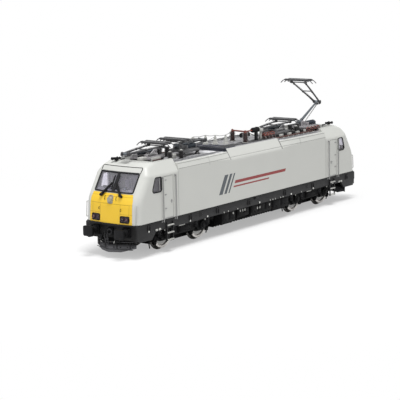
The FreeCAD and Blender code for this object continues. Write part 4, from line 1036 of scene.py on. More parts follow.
# ---- bogies and wheels ---------------------------------------------
def axle_fittings(end, y):
    """Round one axle of a bogie: springs with their seats, the axle box's cover, its damper, the sand pipe,
    the brake block and the wheel's guard."""
    axle, z = end * AXLE_X, AXLE_Z
    dark, springs = [], []
    for x in (axle - 5.0, axle + 5.0):
        springs.append(coil((x, y - 0.2, z - 0.1), (x, y - 0.2, z + 3.4), 1.15, 0.26, 4.5))
        dark += [knob((x, y - 0.2, seat), Z, 16, (1.5, 0.35)) for seat in (z - 0.5, z + 3.4)]
    cover = (2.1, 0.2), (1.9, 0.32), (1.2, 0.42), (1.1, 0.75), (0.9, 0.85)
    dark.append(knob((axle, y + 0.9, z), Y, 24, *cover, top=0.9))
    dark.append(ring_of_bolts((axle, y + 1.2, z), 6, 1.6, 0.34, 0.2))
    x = axle + end * 1.9
    damper = bar((x, y + 1.0, z + 2.0), (x, y + 1.0, z + 3.2), 0.42, 12)
    dark.append(bar((x, y + 1.0, z + 0.6), (x, y + 1.0, z + 2.3), 0.58, 12))
    dark.append(block(x - 0.7, x + 0.7, y + 0.3, y + 1.4, z + 3.0, z + 3.6, 0.2, 0.12))
    x = end * (AXLE_X + 9.4)
    dark.append(tube([(x - end * 1.6, y - 1.2, z + 2.4), (x, y - 1.6, z + 0.8), (x, y - 3.2, z - 3.0),
                      (x - end * 0.9, y - 3.6, z - 6.2)], 0.3, 8, 5, X))
    dark.append(block(x - 1.2, x + 1.0, y - 1.8, y + 0.4, z + 1.2, z + 3.4, 0.4, 0.2, 1))
    x = end * (AXLE_X - 8.2)
    dark.append(block(x - 0.45, x + 0.45, 7.6, 9.4, z - 3.4, z + 2.4, 0.3, 0.15))
    dark.append(block(x - 0.9, x + 0.9, 7.3, 9.6, z - 0.6, z + 1.0, 0.3, 0.2))
    half = [(-7.2, 5.0, 0.6), (-7.6, 0.2, 1.2), (-5.2, -2.6, 1.6), (-3.0, -3.3, 0.8)]
    guard = filleted(half + [(-a, b, radius) for a, b, radius in half[::-1]], True) + (axle, z)
    dark.append(plate(guard, 10.5, 10.95, 0.1))
    for x in (axle - 6.6, axle + 6.6):
        dark.append(block(x - 0.9, x + 0.9, 9.0, 10.9, z - 4.4, z + 1.6, 0.4, 0.2, 1))
        dark.append(bar((x, 8.2, z - 2.6), (x, 11.6, z - 2.6), 0.5, 10))
    return dark, springs, [damper]


def ring_of_bolts(place, count, radius, size, height):
    """Bolts that face Y, evenly round a circle."""
    turns = 2 * math.pi * np.arange(count) / count
    ring = np.stack([np.cos(turns), 0 * turns, np.sin(turns)], axis=-1) * radius
    return bolt(place, Y, size, height).stamped(ring)


def bogie_details(name, middle):
    """Everything on one bogie's frame: what is round its axles, the plate in its middle with bolts, the cable
    over it and the long damper."""
    y, z = 12.1, AXLE_Z
    dark, springs, pale = (one + other for one, other in zip(axle_fittings(1, y), axle_fittings(-1, y)))
    dark.append(block(-4.4, 4.4, y + 0.6, y + 1.0, z - 0.8, z + 2.2, 0.4, 0.15, 1))
    dark += [bolt((x, y + 1.0, at), Y, 0.44, 0.24) for x in (-3.6, 0.0, 3.6) for at in (z - 0.2, z + 1.6)]
    half = [(3.6 - AXLE_X, y + 0.3, z + 2.8), (-8.0, y + 0.5, z + 4.2)]
    other = [(-a, b, c) for a, b, c in half[::-1]]
    dark.append(tube([*half, (0.0, y + 0.5, z + 4.6), *other], 0.22, 7, 5, Y))
    pale.append(bar((-6.6, y + 1.3, z + 3.1), (2.2, y + 1.3, z + 3.1), 0.42, 12))
    dark.append(bar((-1.0, y + 1.3, z + 3.1), (6.8, y + 1.3, z + 3.1), 0.62, 12))
    dark += [block(x - 0.5, x + 0.5, y - 0.1, y + 1.9, z + 2.5, z + 3.7, 0.3, 0.15) for x in (-6.6, 6.8)]
    for piece, finish, shapes in (("bogie_fittings_", "bogie_dark", dark),
                                  ("axle_springs_", "spring_dark", springs),
                                  ("dampers_", "tread_grey", pale)):
        fit(piece + name, finish, [joined(shapes).moved(x=middle)], "sides", "bogie_" + name)


def wheel_details(number):
    """A ring with bolts on the outer face of both wheels, and their hub caps."""
    x, y = PIVOT["wheelset_%d_spin" % number][0], WHEEL_OUT - 0.8
    rim = lathe([(3.25, -0.1), (5.2, -0.1), (5.3, 0.0), (5.3, 0.22), (5.15, 0.32), (3.4, 0.32), (3.25, 0.22)],
                (x, y, AXLE_Z), Y, 40)
    hub = knob((x, WHEEL_OUT + 0.02, AXLE_Z), Y, 24, (1.1, 0.25), (0.9, 0.4), top=0.45)
    nuts = ring_of_bolts((x, y + 0.3, AXLE_Z), 10, 4.3, 0.36, 0.22)
    fit("wheel_rings_%d" % number, "wheel_dark", [rim, hub, nuts], "sides", "wheelset_%d" % number)


# ---- roof ----------------------------------------------------------
def hood_details():
    """Grilles over the louvres, hatches with lifting eyes, and strips and bolts along and across the hood."""
    frames, mesh, dark = [], [], []
    reach = HOOD_X - 1.6
    for x0, x1 in ((-reach, -7.6), (-6.6, 6.6), (7.6, reach)):
        frames += [block(x0, x1, y0, y1, HIGH_FOOT, HOOD + 0.28, 0.15, 0.08)
                   for y0, y1 in ((6.4, 6.9), (11.9, 12.35))]
        frames += [block(x - 0.25, x + 0.25, 6.4, 12.35, HIGH_FOOT, HOOD + 0.28, 0.1, 0.08)
                   for x in (x0 + 0.25, (x0 + x1) / 2, x1 - 0.25)]
        slat = block(-0.11, 0.11, 6.8, 12.0, HIGH_POST, HOOD + 0.18, 0.05, 0.05)
        mesh.append(slat.stamped(along(np.arange(x0 + 0.7, x1 - 0.4, 0.62))))
    for x, half in ((-19.5, 3.2), (-5.8, 3.6), (8.5, 4.6), (18.8, 3.0)):
        frames.append(block(x - half, x + half, -3.6, 3.2, HIGH_FOOT, HOOD + 0.22, 0.5, 0.12))
        dark += [bolt((x + aside, y, HOOD + 0.2), Z, 0.32, 0.16)
                 for aside in (0.5 - half, 0, half - 0.5) for y in (-3.1, 2.7)]
    eye = [(-0.7, 0.0, 0.2), (-0.5, 0.0, 0.75), (0.5, 0.0, 0.75), (0.7, 0.0, 0.2)]
    dark.append(tube(eye, 0.13, 7, 4, Y).stamped(along((-19.5, -5.8), 0.0, HOOD)))
    reach = HOOD_X - 0.5
    dark += [carried(along((-reach, 0, reach), y, HIGH_POST), band(0.5, 0.12, 0.05), Z)
             for y in (HALF_WIDTH - 4.6, 4.6 - HALF_WIDTH)]
    frames += [carried([(x, y, HOOD - 0.03) for y in (-12.2, 0, 6.3)], band(0.5, 0.16, 0.06), Z)
               for x in (8.2 - HOOD_X, 0.0, HOOD_X - 8.2)]
    nut = bolt((0, -11.6, HIGH_POST), Z, 0.3, 0.16)
    dark.append(nut.stamped(along(np.arange(1.6 - HOOD_X, HOOD_X - 1.0, 2.4))))
    fit("hood_frames", "hood_grey", frames)
    fit("hood_grilles", "grille_dark", mesh, "sides")
    fit("hood_fittings", "grille_dark", dark)


def deck_details():
    """Ribs and walkway strips on the sunken decks, and the aerials and pale boxes on the cab roofs."""
    near, far = HOOD_X + 0.6, BAY_X - 0.7
    ribs = [block(-0.22, 0.22, -half, half, LOW_FOOT, DECK + 0.14, 0.1, 0.06).stamped(
        along(np.arange(x0, x1, 3.1))) for x0, x1, half in (
            (near + 2.0, far - 0.6, 13.4), (far + 2.2, END - 25.4, 11.8))]
    fit("deck_ribs", "deck_grey", ribs, "ends")
    walk = []
    for y in (10.6, -10.6):
        walk.append(block(near + 0.4, far - 0.4, y - 1.2, y + 1.2, DECK + 0.1, DECK + 0.3, 0.4, 0.1))
        cleat = block(-0.14, 0.14, y - 1.0, y + 1.0, DECK + 0.25, DECK + 0.42, 0.08, 0.05)
        walk.append(cleat.stamped(along(np.arange(near + 1.2, far - 0.9, 0.9))))
    fit("deck_walkways", "hood_grey", walk, "ends")
    x = END - 27.0
    aerial = slab((3.0, 1.1, 0.5), (x + 3.2, -6.2, ROOF + 0.2), 0.5, 0.2, 2, 5)
    fit("roof_aerials", "black_moulding", [aerial], "ends")
    box = block(x - 1.0, x + 3.4, 3.2, 6.2, ROOF - 0.05, ROOF + 1.6, 0.4, 0.2)
    fit("roof_boxes", "pale_moulding", [box], "ends")


def horn_details():
    """Flared bells, rear caps and foot of the two horns at each end."""
    x, y, z = END - 20.6, 9.6 - HALF_WIDTH, ROOF + 0.9
    bell = [(0, -1.6), (0.24, -1.6), (0.336, 0.4), (0.4, 1.4), (0.64, 2.1), (0.84, 2.4), (0.736, 2.38),
            (0.336, 1.7), (0, 1.6)]
    horns = [lathe(bell, (x + dx, y + dy, z), X, 22) for dx, dy in ((0.2, -0.8), (-0.6, 0.8))]
    horns += [knob((x - 1.7, y + dy, z), X, 18, (0.62, 0), (0.7, 0.25), (0.62, 0.5)) for dy in (0.8, -0.8)]
    horns.append(block(x - 0.9, x + 0.9, y - 0.9, y + 0.9, ROOF - 0.05, ROOF + 0.25, 0.4, 0.12))
    fit("horn_bells", "black_moulding", horns, "ends")


BREAKER_Y = -9.9
BREAKER_Z = HOOD + 5.95
FIRST_POST = (-26.4, 6.6)  # the one before the hood
PALE_POSTS = ((-17.2, 5.0), (-14.7, 0.4), (-10.8, -3.8))
BUSBAR_POSTS = ((0.4, -0.2), (-1.0, BREAKER_Y))


def pale_post_line():
    """The pale posts on the hood, the ribbed one before it, and the wires over them and between them."""
    top = HOOD + 4.3
    cone = [(1.75, 0.25), (1.35, 0.5), (1.5, 0.7), (1.1, 1.4), (1.25, 1.6), (0.9, 2.3), (1.05, 2.5),
            (0.75, 3.2), (0.85, 3.4), (0.6, 4.2)]
    caps = [ribbed_post((*FIRST_POST, LOW_POST), 6.6, 1.25, 0.7, 0.75, 14),
            knob((*FIRST_POST, DECK + 6.5), Z, 14, (0.5, 0.3), (0.3, 0.5), top=0.55)]
    for post in PALE_POSTS:
        caps.append(knob((*post, top - 0.05), Z, 14, (0.5, 0.3), (0.3, 0.42), (0.3, 0.8), top=0.85))
        caps.append(knob((*post, HIGH_POST), Z, 20, *cone))
    ends = np.array([(*FIRST_POST, HOOD + 4.95), *((*post, top + 0.6) for post in PALE_POSTS),
                     (*BUSBAR_POSTS[0], HOOD + 6.0)])
    wires = [tube([a, (a + b) / 2 - 0.35 * Z, b], 0.15, 7, 6, Z) for a, b in zip(ends, ends[1:])]
    wires += [tube([a - 3.4 * Z, b - 0.9 * Z], 0.13, 7, 2, Z) for a, b in zip(ends[1:], ends[2:])]
    return {"post_caps": caps, "roof_wires": wires}


def busbar_fittings():
    """The two brown posts under the busbar, with their feet, red caps and nuts."""
    sheds, caps, red = [], [], []
    for post in BUSBAR_POSTS:
        sheds.append(ribbed_post((*post, HOOD + 0.2), 5.1, 1.75, 1.15, 0.72))
        caps.append(knob((*post, HIGH_POST), Z, 22, (1.9, 0.25), (1.35, 0.4)))
        red.append(knob((*post, HOOD + 5.2), Z, 18, (0.85, 0), (0.9, 0.2), (0.9, 0.5), (0.6, 0.7)))
        red.append(bolt((*post, HOOD + 6.5), Z, 0.42, 0.3))
    return {"post_sheds": sheds, "post_caps": caps, "roof_busbars": red}


def breaker_parts():
    """The breaker's sheds, and the pale cap, head and stand at its end."""
    x, y, z = 11.4, BREAKER_Y, BREAKER_Z
    shed = ((1.05, 0), (1.42, 0.25), (1.42, 0.38), (1.05, 0.6))
    sheds = [(radius, 0.78 * count + height) for count in range(7) for radius, height in shed]
    caps = [knob((x - 0.2, y, z), X, 20, (0.9, 0), (1.2, 0.2), (1.2, 0.9), (0.9, 1.1)),
            slab((2.6, 2.2, 1.5), (x + 2.2, y, z - 0.6), 0.5, 0.25, 2, 4),
            block(x + 1.6, x + 2.8, y - 0.5, y + 0.5, HIGH_FOOT, z - 1.2, 0.3, 0.12)]
    return {"breaker_sheds": [knob((5.7, y, z), X, 22, *sheds, top=5.2)], "post_caps": caps}


def arch(start, end, rise, aside=0.0, radius=0.26, normal=Y):
    """A cable from post to post that rises, or bows aside along Y, in its middle."""
    start, end = np.array(start), np.array(end)
    return tube([start, (start + end) / 2 + rise * Z + aside * Y, end], radius, 8, 5, normal)


def red_rows():
    """Red cables on small brown posts: two rows behind the breaker and one beside the raised pantograph."""
    sheds, red = [], []
    lift = HOOD + 1.7
    rows, columns = (-11.4, -8.2), (15.2, 18.4, 21.6, 24.8)
    for x in columns:
        foot, height = (HIGH_FOOT, 1.9) if x < HOOD_X else (DECK, 3.4)
        sheds += [ribbed_post((x, y, foot), height, 0.85, 0.5, 0.5, 12) for y in rows]
        red.append(tube([(x, rows[0], lift), (x + 0.4, -10.9, lift + 1.2), (x + 0.8, -8.8, lift + 1.3),
                         (x, rows[1], lift)], 0.24, 8, 5, X))
    red += [arch((x, y, lift + 0.1), (x + 3.2, y, lift + 0.1), 0.55) for x in columns[:3] for y in rows]
    columns, y = (63.6, 67.2, 70.8, 74.4, 78.0), -7.6
    sheds += [ribbed_post((x, y, LOW_POST), 2.1, 0.9, 0.5, 0.5, 12) for x in columns]
    for x0, x1 in zip(columns, columns[1:]):
        red.append(arch((x0, y, DECK + 2.2), (x1, y, DECK + 2.2), 0.8, radius=0.3))
        red.append(arch((x0, y, DECK + 1.4), (x1, y, DECK + 1.4), 0.3, -0.8, 0.24, Z))
    return {"post_sheds": sheds, "roof_busbars": red}


def black_posts():
    """Black posts with pale caps beside the pantographs."""
    places = ((57.0, -4.7), (-57.0, 4.7), (-56.0, -8.5), (56.5, 8.5), (-64.0, -7.6))
    return {"line_posts": [ribbed_post((*place, LOW_POST), 4.4, 1.5, 0.9, 0.7) for place in places],
            "post_caps": [knob((*place, DECK + 4.35), Z, 16, (0.8, 0.35), (0.4, 0.55)) for place in places]}


def conductor_details():
    """Everything that carries current on the hood and beside the pantographs, by finish."""
    groups = pale_post_line(), busbar_fittings(), breaker_parts(), red_rows(), black_posts()
    for name, finish in (("line_posts", "insulator_dark"), ("post_sheds", "post_brown"),
                         ("roof_wires", "rail_grey"), ("post_caps", "pale_moulding"),
                         ("roof_busbars", "bar_red"), ("breaker_sheds", "black_moulding")):
        fit(name, finish, [shape for group in groups for shape in group.get(name, [])])


def cable_runs():
    """Long cables along the decks: from the breaker to the rear, on clips and between black posts and pale
    blocks, and a pair on the far side of the front deck."""
    z, low = BREAKER_Z, DECK + 0.9
    clip_y, far_clip_y, post_y = -9.15, 10.0, -7.1
    cables = [tube([(14.0, (y + BREAKER_Y) / 2, z - 0.3), (16.0, y, z - 1.6), (17.4, y, HOOD + 0.9),
                    (20.0, y, HOOD + 0.6), (24.6, y, HOOD + 0.5), (26.6, y, DECK + 1.5),
                    *along((30.0, 46.0, 67.0), y, low)], 0.24, 8, 6, Y) for y in (BREAKER_Y, -8.4)]
    cables += [tube(along((-66.0, -47.5, -29.0), y, low), 0.22, 8, 3, Y) for y in (9.0, 11.0)]
    fit("roof_cables", "cable_brown", cables)
    post = ribbed_post((0, 0, -0.02), 2.5, 1.25, 0.85, 0.5, 14)
    fit("cable_posts", "insulator_dark", [post.stamped(along((34.0, 42.4, 50.8, 59.2), post_y, DECK))])
    clip = block(-0.4, 0.4, -1.25, 1.25, -0.05, 0.78, 0.2, 0.1)
    head = block(-1.5, 1.5, -0.7, 0.7, -0.05, 2.0, 0.5, 0.3)
    fit("cable_blocks", "pale_moulding", [
        clip.stamped(along((18.5, 22.5), clip_y, HOOD)),
        clip.stamped(along(np.arange(30.5, 67.0, 5.2), clip_y, DECK)),
        clip.stamped(along(np.arange(-63.5, -30.0, 5.5), far_clip_y, DECK)),
        head.stamped(along((38.2, 46.6, 55.0, 63.0), post_y, DECK))])


def switch_details():
    """Isolating switches between the pantographs: two tall posts, a pair of bars on them and a pale box."""
    first, last = columns = (-61.6, -54.0)
    posts = [ribbed_post((x, 2.5, LOW_POST), 4.6, 1.5, 0.95, 0.7) for x in columns]
    fit("switch_posts", "insulator_dark", posts, "ends")
    bars = [block(x - 0.8, x + 0.8, 1.2, 3.8, DECK + 4.5, DECK + 5.1, 0.3, 0.15) for x in columns]
    bars += [bar((first - 0.6, y, DECK + 5.2), (last + 0.6, y, DECK + 5.2), 0.3) for y in (1.7, 3.3)]
    bars.append(tube([(first, 1.4, DECK + 4.8), (-62.6, -0.6, DECK + 4.2), (-64.4, -2.0, DECK + 3.4),
                      (-65.6, -3.4, DECK + 3.0)], 0.2, 8, 5, Z))
    fit("switch_bars", "arm_dark", bars, "ends")
    box = block(-59.6, -55.6, -5.2, -2.6, LOW_FOOT, DECK + 2.3, 0.5, 0.25)
    fit("switch_boxes", "pale_moulding", [box], "ends")


def switchgear_details():
    """Straps and pipe of the air vessel, and covers and bands of the boxes beside the outer pantographs."""
    vessel = [lathe([(1.2, 0), (1.46, 0.06), (1.46, 0.54), (1.2, 0.6)], (x, 4.0, HOOD + 1.3), X, 24)
              for x in (15.3, 17.7, 20.1)]
    vessel.append(tube([(21.6, 4.0, HOOD + 1.3), (22.6, 3.2, HOOD + 1.3), (22.8, 0.5, HOOD + 0.6),
                        (22.8, -6.0, HOOD + 0.5)], 0.22, 8, 6, Z))
    covers, nuts, bands = [], [], []
    x0, x1 = 69.6, 77.0
    for y0, y1, low in ((-6.2, -3.4, 1.75), (3.4, 6.2, -0.05)):
        covers.append(block(x0, x1, y0, y1, DECK + low, DECK + 2.6, 0.4, 0.2))
        covers.append(block(x0 + 0.4, x1 - 0.4, y0 + 0.3, y1 - 0.3, DECK + 2.55, DECK + 2.85, 0.3, 0.12))
        bands += [carried(along((x0 + 0.3, (x0 + x1) / 2, x1 - 0.3), y, DECK + 1.5), band(0.5, 0.2, 0.06),
                          np.sign(y) * Y) for y in (y0 - 0.12, y1 + 0.12)]
        nuts += [bolt((x, y, DECK + 2.83), Z, 0.3, 0.16)
                 for x in (x0 + 0.9, x1 - 0.9) for y in (y0 + 0.7, y1 - 0.7)]
    fit("gear_boxes", "pale_moulding", covers, "ends")
    fit("gear_straps", "frame_dark", vessel + [joined(nuts).both_ends()])
    fit("gear_bands", "cable_brown", bands, "ends")


# ---- pantographs ---------------------------------------------------
def base_finish(number):
    """The outer pantographs' base frames are paler than the inner ones."""
    return "base_grey" if number in (1, 4) else "base_dark"


class Pantograph:
    """The pivots of one pantograph. Its shapes are worked out with its foot's axis at x = 0 and the knee
    towards +x, then turned to face the way it does and put on the roof."""

    def __init__(self, number):
        self.number = number
        self.body = "pantograph_%d_" % number
        foot, knee, top = (PIVOT[self.body + joint] for joint in ("raise", "knee", "head_pivot"))
        self.x = foot[0]
        self.facing = np.sign(knee[0] - self.x)
        self.foot, self.knee, self.top = (
            np.array([self.facing * (point[0] - self.x), 0.0, point[2]]) for point in (foot, knee, top))

    def fit(self, name, finish, shapes, moving=None):
        """A new piece of this pantograph, on its fixed base or on a moving part."""
        shape = joined(shapes)
        shape = Shape(shape.points * (self.facing, self.facing, 1.0), shape.faces).moved(x=self.x)
        fit("%s_%d" % (name, self.number), finish, [shape], body=self.body + moving if moving else FIXED)

    def fit_on_arm(self, name, finish, shapes, moving, start, end):
        """The same for shapes drawn along +x from the origin, put along an arm between two pivots."""
        run = end - start
        angle = -math.degrees(math.atan2(run[2], run[0]))
        self.fit(name, finish, [joined(shapes).turned("y", angle).moved(*start)], moving)


def base_details(panto):
    """Flanges and bolts of the base frame, insulator caps, bellows, springs, air pipe and cable."""
    z = panto.foot[2]
    low, high = z - 3.4, z - 2.5  # of the base frame's rails
    rail_y, foot_x, spring_y = 4.7, (-1.5, 10.5), (2.75, 3.75)
    dark, caps = [], []
    for y in (-rail_y, rail_y):
        dark += [block(-2.4, 11.4, at - 0.12, at + 0.12, low - 0.2, high + 0.25, 0.1, 0.08)
                 for at in (y - 0.75, y + 0.75)]
        for x in foot_x:
            caps.append(knob((x, y, low - 0.5), Z, 20, (1.25, 0.3), (0.7, 0.5), (0.7, 0.7)))
            caps.append(knob((x, y, LOW_POST), Z, 22, (1.75, 0.22), (1.3, 0.4)))
            dark.append(bolt((x, y, high), Z, 0.7, 0.4))
    dark += [block(x - 0.5, x + 0.5, -4.6, 4.6, low + 0.1, high + 0.12, 0.2, 0.1) for x in (*foot_x, 4.9)]
    dark += [block(x - 0.4, x + 0.4, -4.2, -1.5, high - 0.1, z - 0.2, 0.3, 0.12) for x in (3.2, 10.6)]
    dark += [bar((1.6, y, z - 1.5), (2.7, y, z - 1.5), 0.3, 8) for y in spring_y]
    dark += [block(9.1, 9.9, 2.1, 4.4, high - 0.1, z - 0.9, 0.3, 0.12),
             block(1.2, 2.0, 2.2, 4.3, high - 0.1, z - 1.0, 0.3, 0.12),
             tube([(11.0, 0.0, low + 0.2), (10.6, -1.6, high + 0.4), (9.6, -2.9, z - 1.35)], 0.2, 8, 5, Z),
             tube([(-1.6, -3.4, high + 0.3), (3.0, -3.9, high + 0.45), (8.0, -3.9, high + 0.4),
                   (11.0, -3.2, high + 0.3)], 0.16, 7, 5, Z)]
    dark += [knob((0, y, z), np.sign(y) * Y, 16, (0.75, 0.25), (0.5, 0.35)) for y in (2.1, -2.1)]
    panto.fit("base_fittings", base_finish(panto.number), dark)
    springs = [coil((2.6, y, z - 1.5), (9.2, y, z - 1.5), 0.44, 0.13, 11, 6) for y in spring_y]
    panto.fit("base_springs", "rail_grey", springs)
    folds = [step for fold in np.arange(11) * 0.62 for step in ((1.05, fold + 0.1), (1.5, fold + 0.41))]
    bellows = lathe([(0, -0.3), (1.2, -0.3), (1.2, 0), *folds, (1.2, 7.0), (1.2, 7.3), (0, 7.3)],
                    (3.4, -2.75, z - 1.0), X)
    panto.fit("bellows", "bellows_blue", [bellows])
    panto.fit("insulator_caps", "insulator_dark", caps)


def lower_arm_details(panto):
    """Collars and a cable along the lower arm."""
    ends = panto.foot, panto.knee
    length = math.dist(*ends)
    low = [(0.5, 0), (1.0, 0), (1.04, 0.08), (1.04, 0.4), (1.0, 0.48), (0.5, 0.48)]
    high = [(0.3, 0), (0.74, 0), (0.8, 0.1), (0.8, 0.5), (0.3, 0.6)]
    collars = [lathe(low, (1.6, 0, 0), X), lathe(high, (length - 2.4, 0, 0), X, 18)]
    panto.fit_on_arm("lower_collars", "arm_dark", collars, "lower_arm", *ends)
    cable = tube([(2.2, 0.5, -0.45), (8.0, 0.45, -0.5), (length / 2 + 2, 0.4, -0.45),
                  (length - 2.6, 0.35, -0.4)], 0.1, 6, 5, Y)
    panto.fit_on_arm("lower_cable", "rubber", [cable], "lower_arm", *ends)


def upper_arm_details(panto):
    """Elbow cheeks, straps, collars and wires of the upper arm."""
    ends = panto.knee, panto.top
    length = math.dist(*ends)
    parts, wires = [], []
    collar = [(0.4, 0), (0.6, 0.05), (0.6, 0.45), (0.4, 0.5)]
    for side in (1, -1):
        strap = [(-1.3, side * 1.95, 0.35), (0.6, side * 1.95, 0.2), (3.6, side * 2.2, 0.0)]
        parts += [knob((0, side * 2.15, 0), side * Y, 18, (0.95, 0.3), (0.6, 0.45)),
                  carried(strap, band(0.7, 0.5, 0.12, sunk=0.3), Z),
                  knob((length, side * 4.85, 0), side * Y, 16, (0.72, 0.3), (0.5, 0.42))]
        parts += [lathe(collar, (part * length, side * (1.8 + 2.7 * part), 0.0), (1, side * 0.11, 0), 14)
                  for part in (0.16, 0.5, 0.9)]
        wires.append(tube([(1.0, side * 1.8, -0.5), (length / 2, side * 3.1, -0.72),
                           (length - 0.8, side * 4.4, -0.45)], 0.11, 6, 5, Y))
    panto.fit_on_arm("elbow", "arm_dark", parts, "upper_arm", *ends)
    panto.fit_on_arm("braces", "rail_grey", wires, "upper_arm", *ends)


def head_details(panto):
    """Carbon strips, end plates, cross tubes and springs of the head."""
    dark, carbon, springs = [], [], []
    cross_bars = ((1.9, 7.7, 1.5, 0.2, 8), (1.9, 3.6, 1.45, 0.17, 8), (2.3, 5.25, 1.15, 0.28, 10),
                  (2.2, 2.2, 1.2, 0.2, 8))
    for x in (-1.9, 1.9):
        carbon.append(block(x - 0.5, x + 0.5, -7.9, 7.9, 1.75, 2.15, 0.4, 0.14))
        dark.append(block(x - 0.68, x + 0.68, -8.1, 8.1, 1.2, 1.45, 0.2, 0.1))
        dark.append(block(x - 0.2, x + 0.2, -8.0, 8.0, 0.85, 1.3, 0.1, 0.08))
        dark += [block(x - 0.75, x + 0.75, y - 0.35, y + 0.35, 1.2, 1.9, 0.25, 0.12) for y in (8.0, -8.0)]
        springs += [coil((x, y, 0.35), (x, y, 1.15), 0.42, 0.12, 4, 6) for y in (5.6, -5.6)]
    dark += [bar((x, -7.9, 1.5), (x, 7.9, 1.5), 0.17, 8) for x in (-0.95, 0.0, 0.95)]
    for side in (1, -1):
        dark += [bar((-x, side * y, z), (x, side * y, z), radius, sides)
                 for x, y, z, radius, sides in cross_bars]
        dark.append(knob((0, side * 5.2, 0), side * Y, 16, (0.5, 0.5), (0.3, 0.6)))
        wire = [(0, side * 5.4, 0.1), (-1.2, side * 5.6, 0.5), (-2.0, side * 5.6, 1.2)]
        dark.append(tube(wire, 0.13, 6, 4, Y))
    for name, finish, shapes in (("head_frame", "arm_dark", dark), ("carbon_strips", "carbon", carbon),
                                 ("head_springs", "rail_grey", springs)):
        panto.fit(name, finish, [joined(shapes).moved(*panto.top)], "head")


# ---- cabs ----------------------------------------------------------
def cab_details():
    """Seat cushions, desk panel with screens and levers, for the rear cab and its copy at the front."""
    floor = SILL + 9.6
    desk = END - 16.6
    seat = desk - 9.0
    dark = [slab((3.8, 3.9, 1.2), (seat + 2.0, -4.6, floor + 3.7), 0.9, 0.45, 2, 5),
            slab((1.1, 3.7, 4.6), (seat - 0.1, -4.6, floor + 6.6), 0.9, 0.45, 0, 5),
            slab((0.9, 2.2, 1.4), (seat - 0.2, -4.6, floor + 9.6), 0.6, 0.35, 0, 5)]
    grip = [(0, 0), (0.35, 0.1), (0.4, 0.4), (0.25, 0.65), (0, 0.7)]
    for y in (-7.0, -2.4, 1.4):
        dark.append(bar((desk + 1.2, y, floor + 5.0), (desk + 0.9, y, floor + 6.5), 0.16, 8))
        dark.append(lathe(grip, (desk + 0.9, y, floor + 6.3), Z, 12))
    fit("cab_seats", "seat_cloth", dark, "ends")
    panel = block(desk + 0.3, desk + 2.2, -12.5, 12.5, floor + 4.7, floor + 5.3, 0.4, 0.15)
    fit("desk_panels", "cab_lining", [panel.turned("y", -22, (desk + 1.2, 0, floor + 5.0))], "ends")
    centre = (desk + 3.6, 0, floor + 6.5)
    screen = slab((0.4, 2.8, 1.9), centre, 0.25, 0.12, 0, 3).turned("y", 25, centre)
    fit("desk_screens", "screen_dark", [screen.moved(y=y) for y in (-8.5, -4.6, -0.6, 4.2)], "ends")


# ---- finishes and carried-over pieces ------------------------------
def body_seams(x, y, z):
    """Engraved joints: two along the machine room's upper edge, one at the inner side of the doors' bays, the
    ones between the roof's panels and a finer one along the hood's foot."""
    length = abs(x)
    upper = (z.line(DECK - 0.35, 0.22) + z.line(EAVES, 0.20)) * length.within(HOOD_X, BAY_X - 0.4)
    ends = length.line(BAY_X, 0.22) * z.within(SILL, CANT)
    panels = (length.line(HOOD_X, 0.8) + length.line(HOOD_X + 18.6, 0.22)) * z.within(CANT, ROOF)
    low = z.line(EAVES, 0.14) * (length < HOOD_X)
    return (upper + ends + panels + low).clamped()


def hood_ends(x, y, z):
    """The two end walls of the hood."""
    return abs(x).line(HOOD_X, 0.12) * (z > EAVES)


def hood_front(x, y, z):
    """The hood's front strip, which is darker."""
    return x.within(-HOOD_X - 0.4, 9.5 - HOOD_X)


def cab_roofs(x, y, z):
    """The flat tops of the cab roofs, which are duller."""
    return (z > ROOF - 0.3) * (abs(x) > BAY_X)


def pale_plates(x, y, z):
    """The decks' plates next to the hood, which are paler."""
    return abs(x).within(HOOD_X, HOOD_X + 7.5)


def beam_face_shade(x, y, z):
    """The fronts of the buffer beams, painted darker than the sole bars as painted shade."""
    return (abs(x) > BEAM_X - 0.8) * (abs(y) < HALF_WIDTH - 1.5)


def plough_lit_toe(x, y, z):
    """The ploughs' lower edges, paler as painted light, under blades that are darkened as painted shade."""
    return (z * -1.0).step(-7.6, -5.0)


def slanted(x, y, z):
    """Distance along a side wall, to the viewer's right, that leans back by 0.55 for each millimetre up."""
    return x * y.math("SIGN") * -1.0 - (z - SILL - 10.0) * 0.55


def on_walls(y):
    """The flat of both side walls."""
    return abs(y) > HALF_WIDTH - 0.4


def stripes(x, y, z):
    """Three slanted bars on each side wall."""
    lean = slanted(x, y, z)
    bars = (lean.within(-33.0, -29.8) + lean.within(-28.4, -26.2) + lean.within(-24.8, -23.6)).clamped()
    return bars * z.within(SILL + 5.2, SILL + 15.2) * on_walls(y)


def red_line(x, y, z):
    """A long line that follows the bars and a shorter one under it, with slanted ends."""
    lean = slanted(x, y, z)
    long = lean.within(-21.4, 27.0) * z.within(SILL + 9.6, SILL + 11.2)
    short = lean.within(-21.4, 12.0) * z.within(SILL + 7.6, SILL + 8.4)
    return (long + short) * on_walls(y)


def front_seams(x, y, z):
    """Joints of the front: under the upper lamp, round the hatch and above the lamp clusters."""
    hatch, hatch_top = 6.4, SILL + 9.6
    level = z.line(hatch_top, 0.2) + z.line(SILL + 13.3, 0.16) + z.line(SILL + 4.9, 0.14) * (abs(y) > hatch)
    upright = (abs(y).line(HALF_WIDTH - 5.4, 0.16) + abs(y).line(hatch, 0.14)) * (z < hatch_top)
    return (level + upright).clamped()


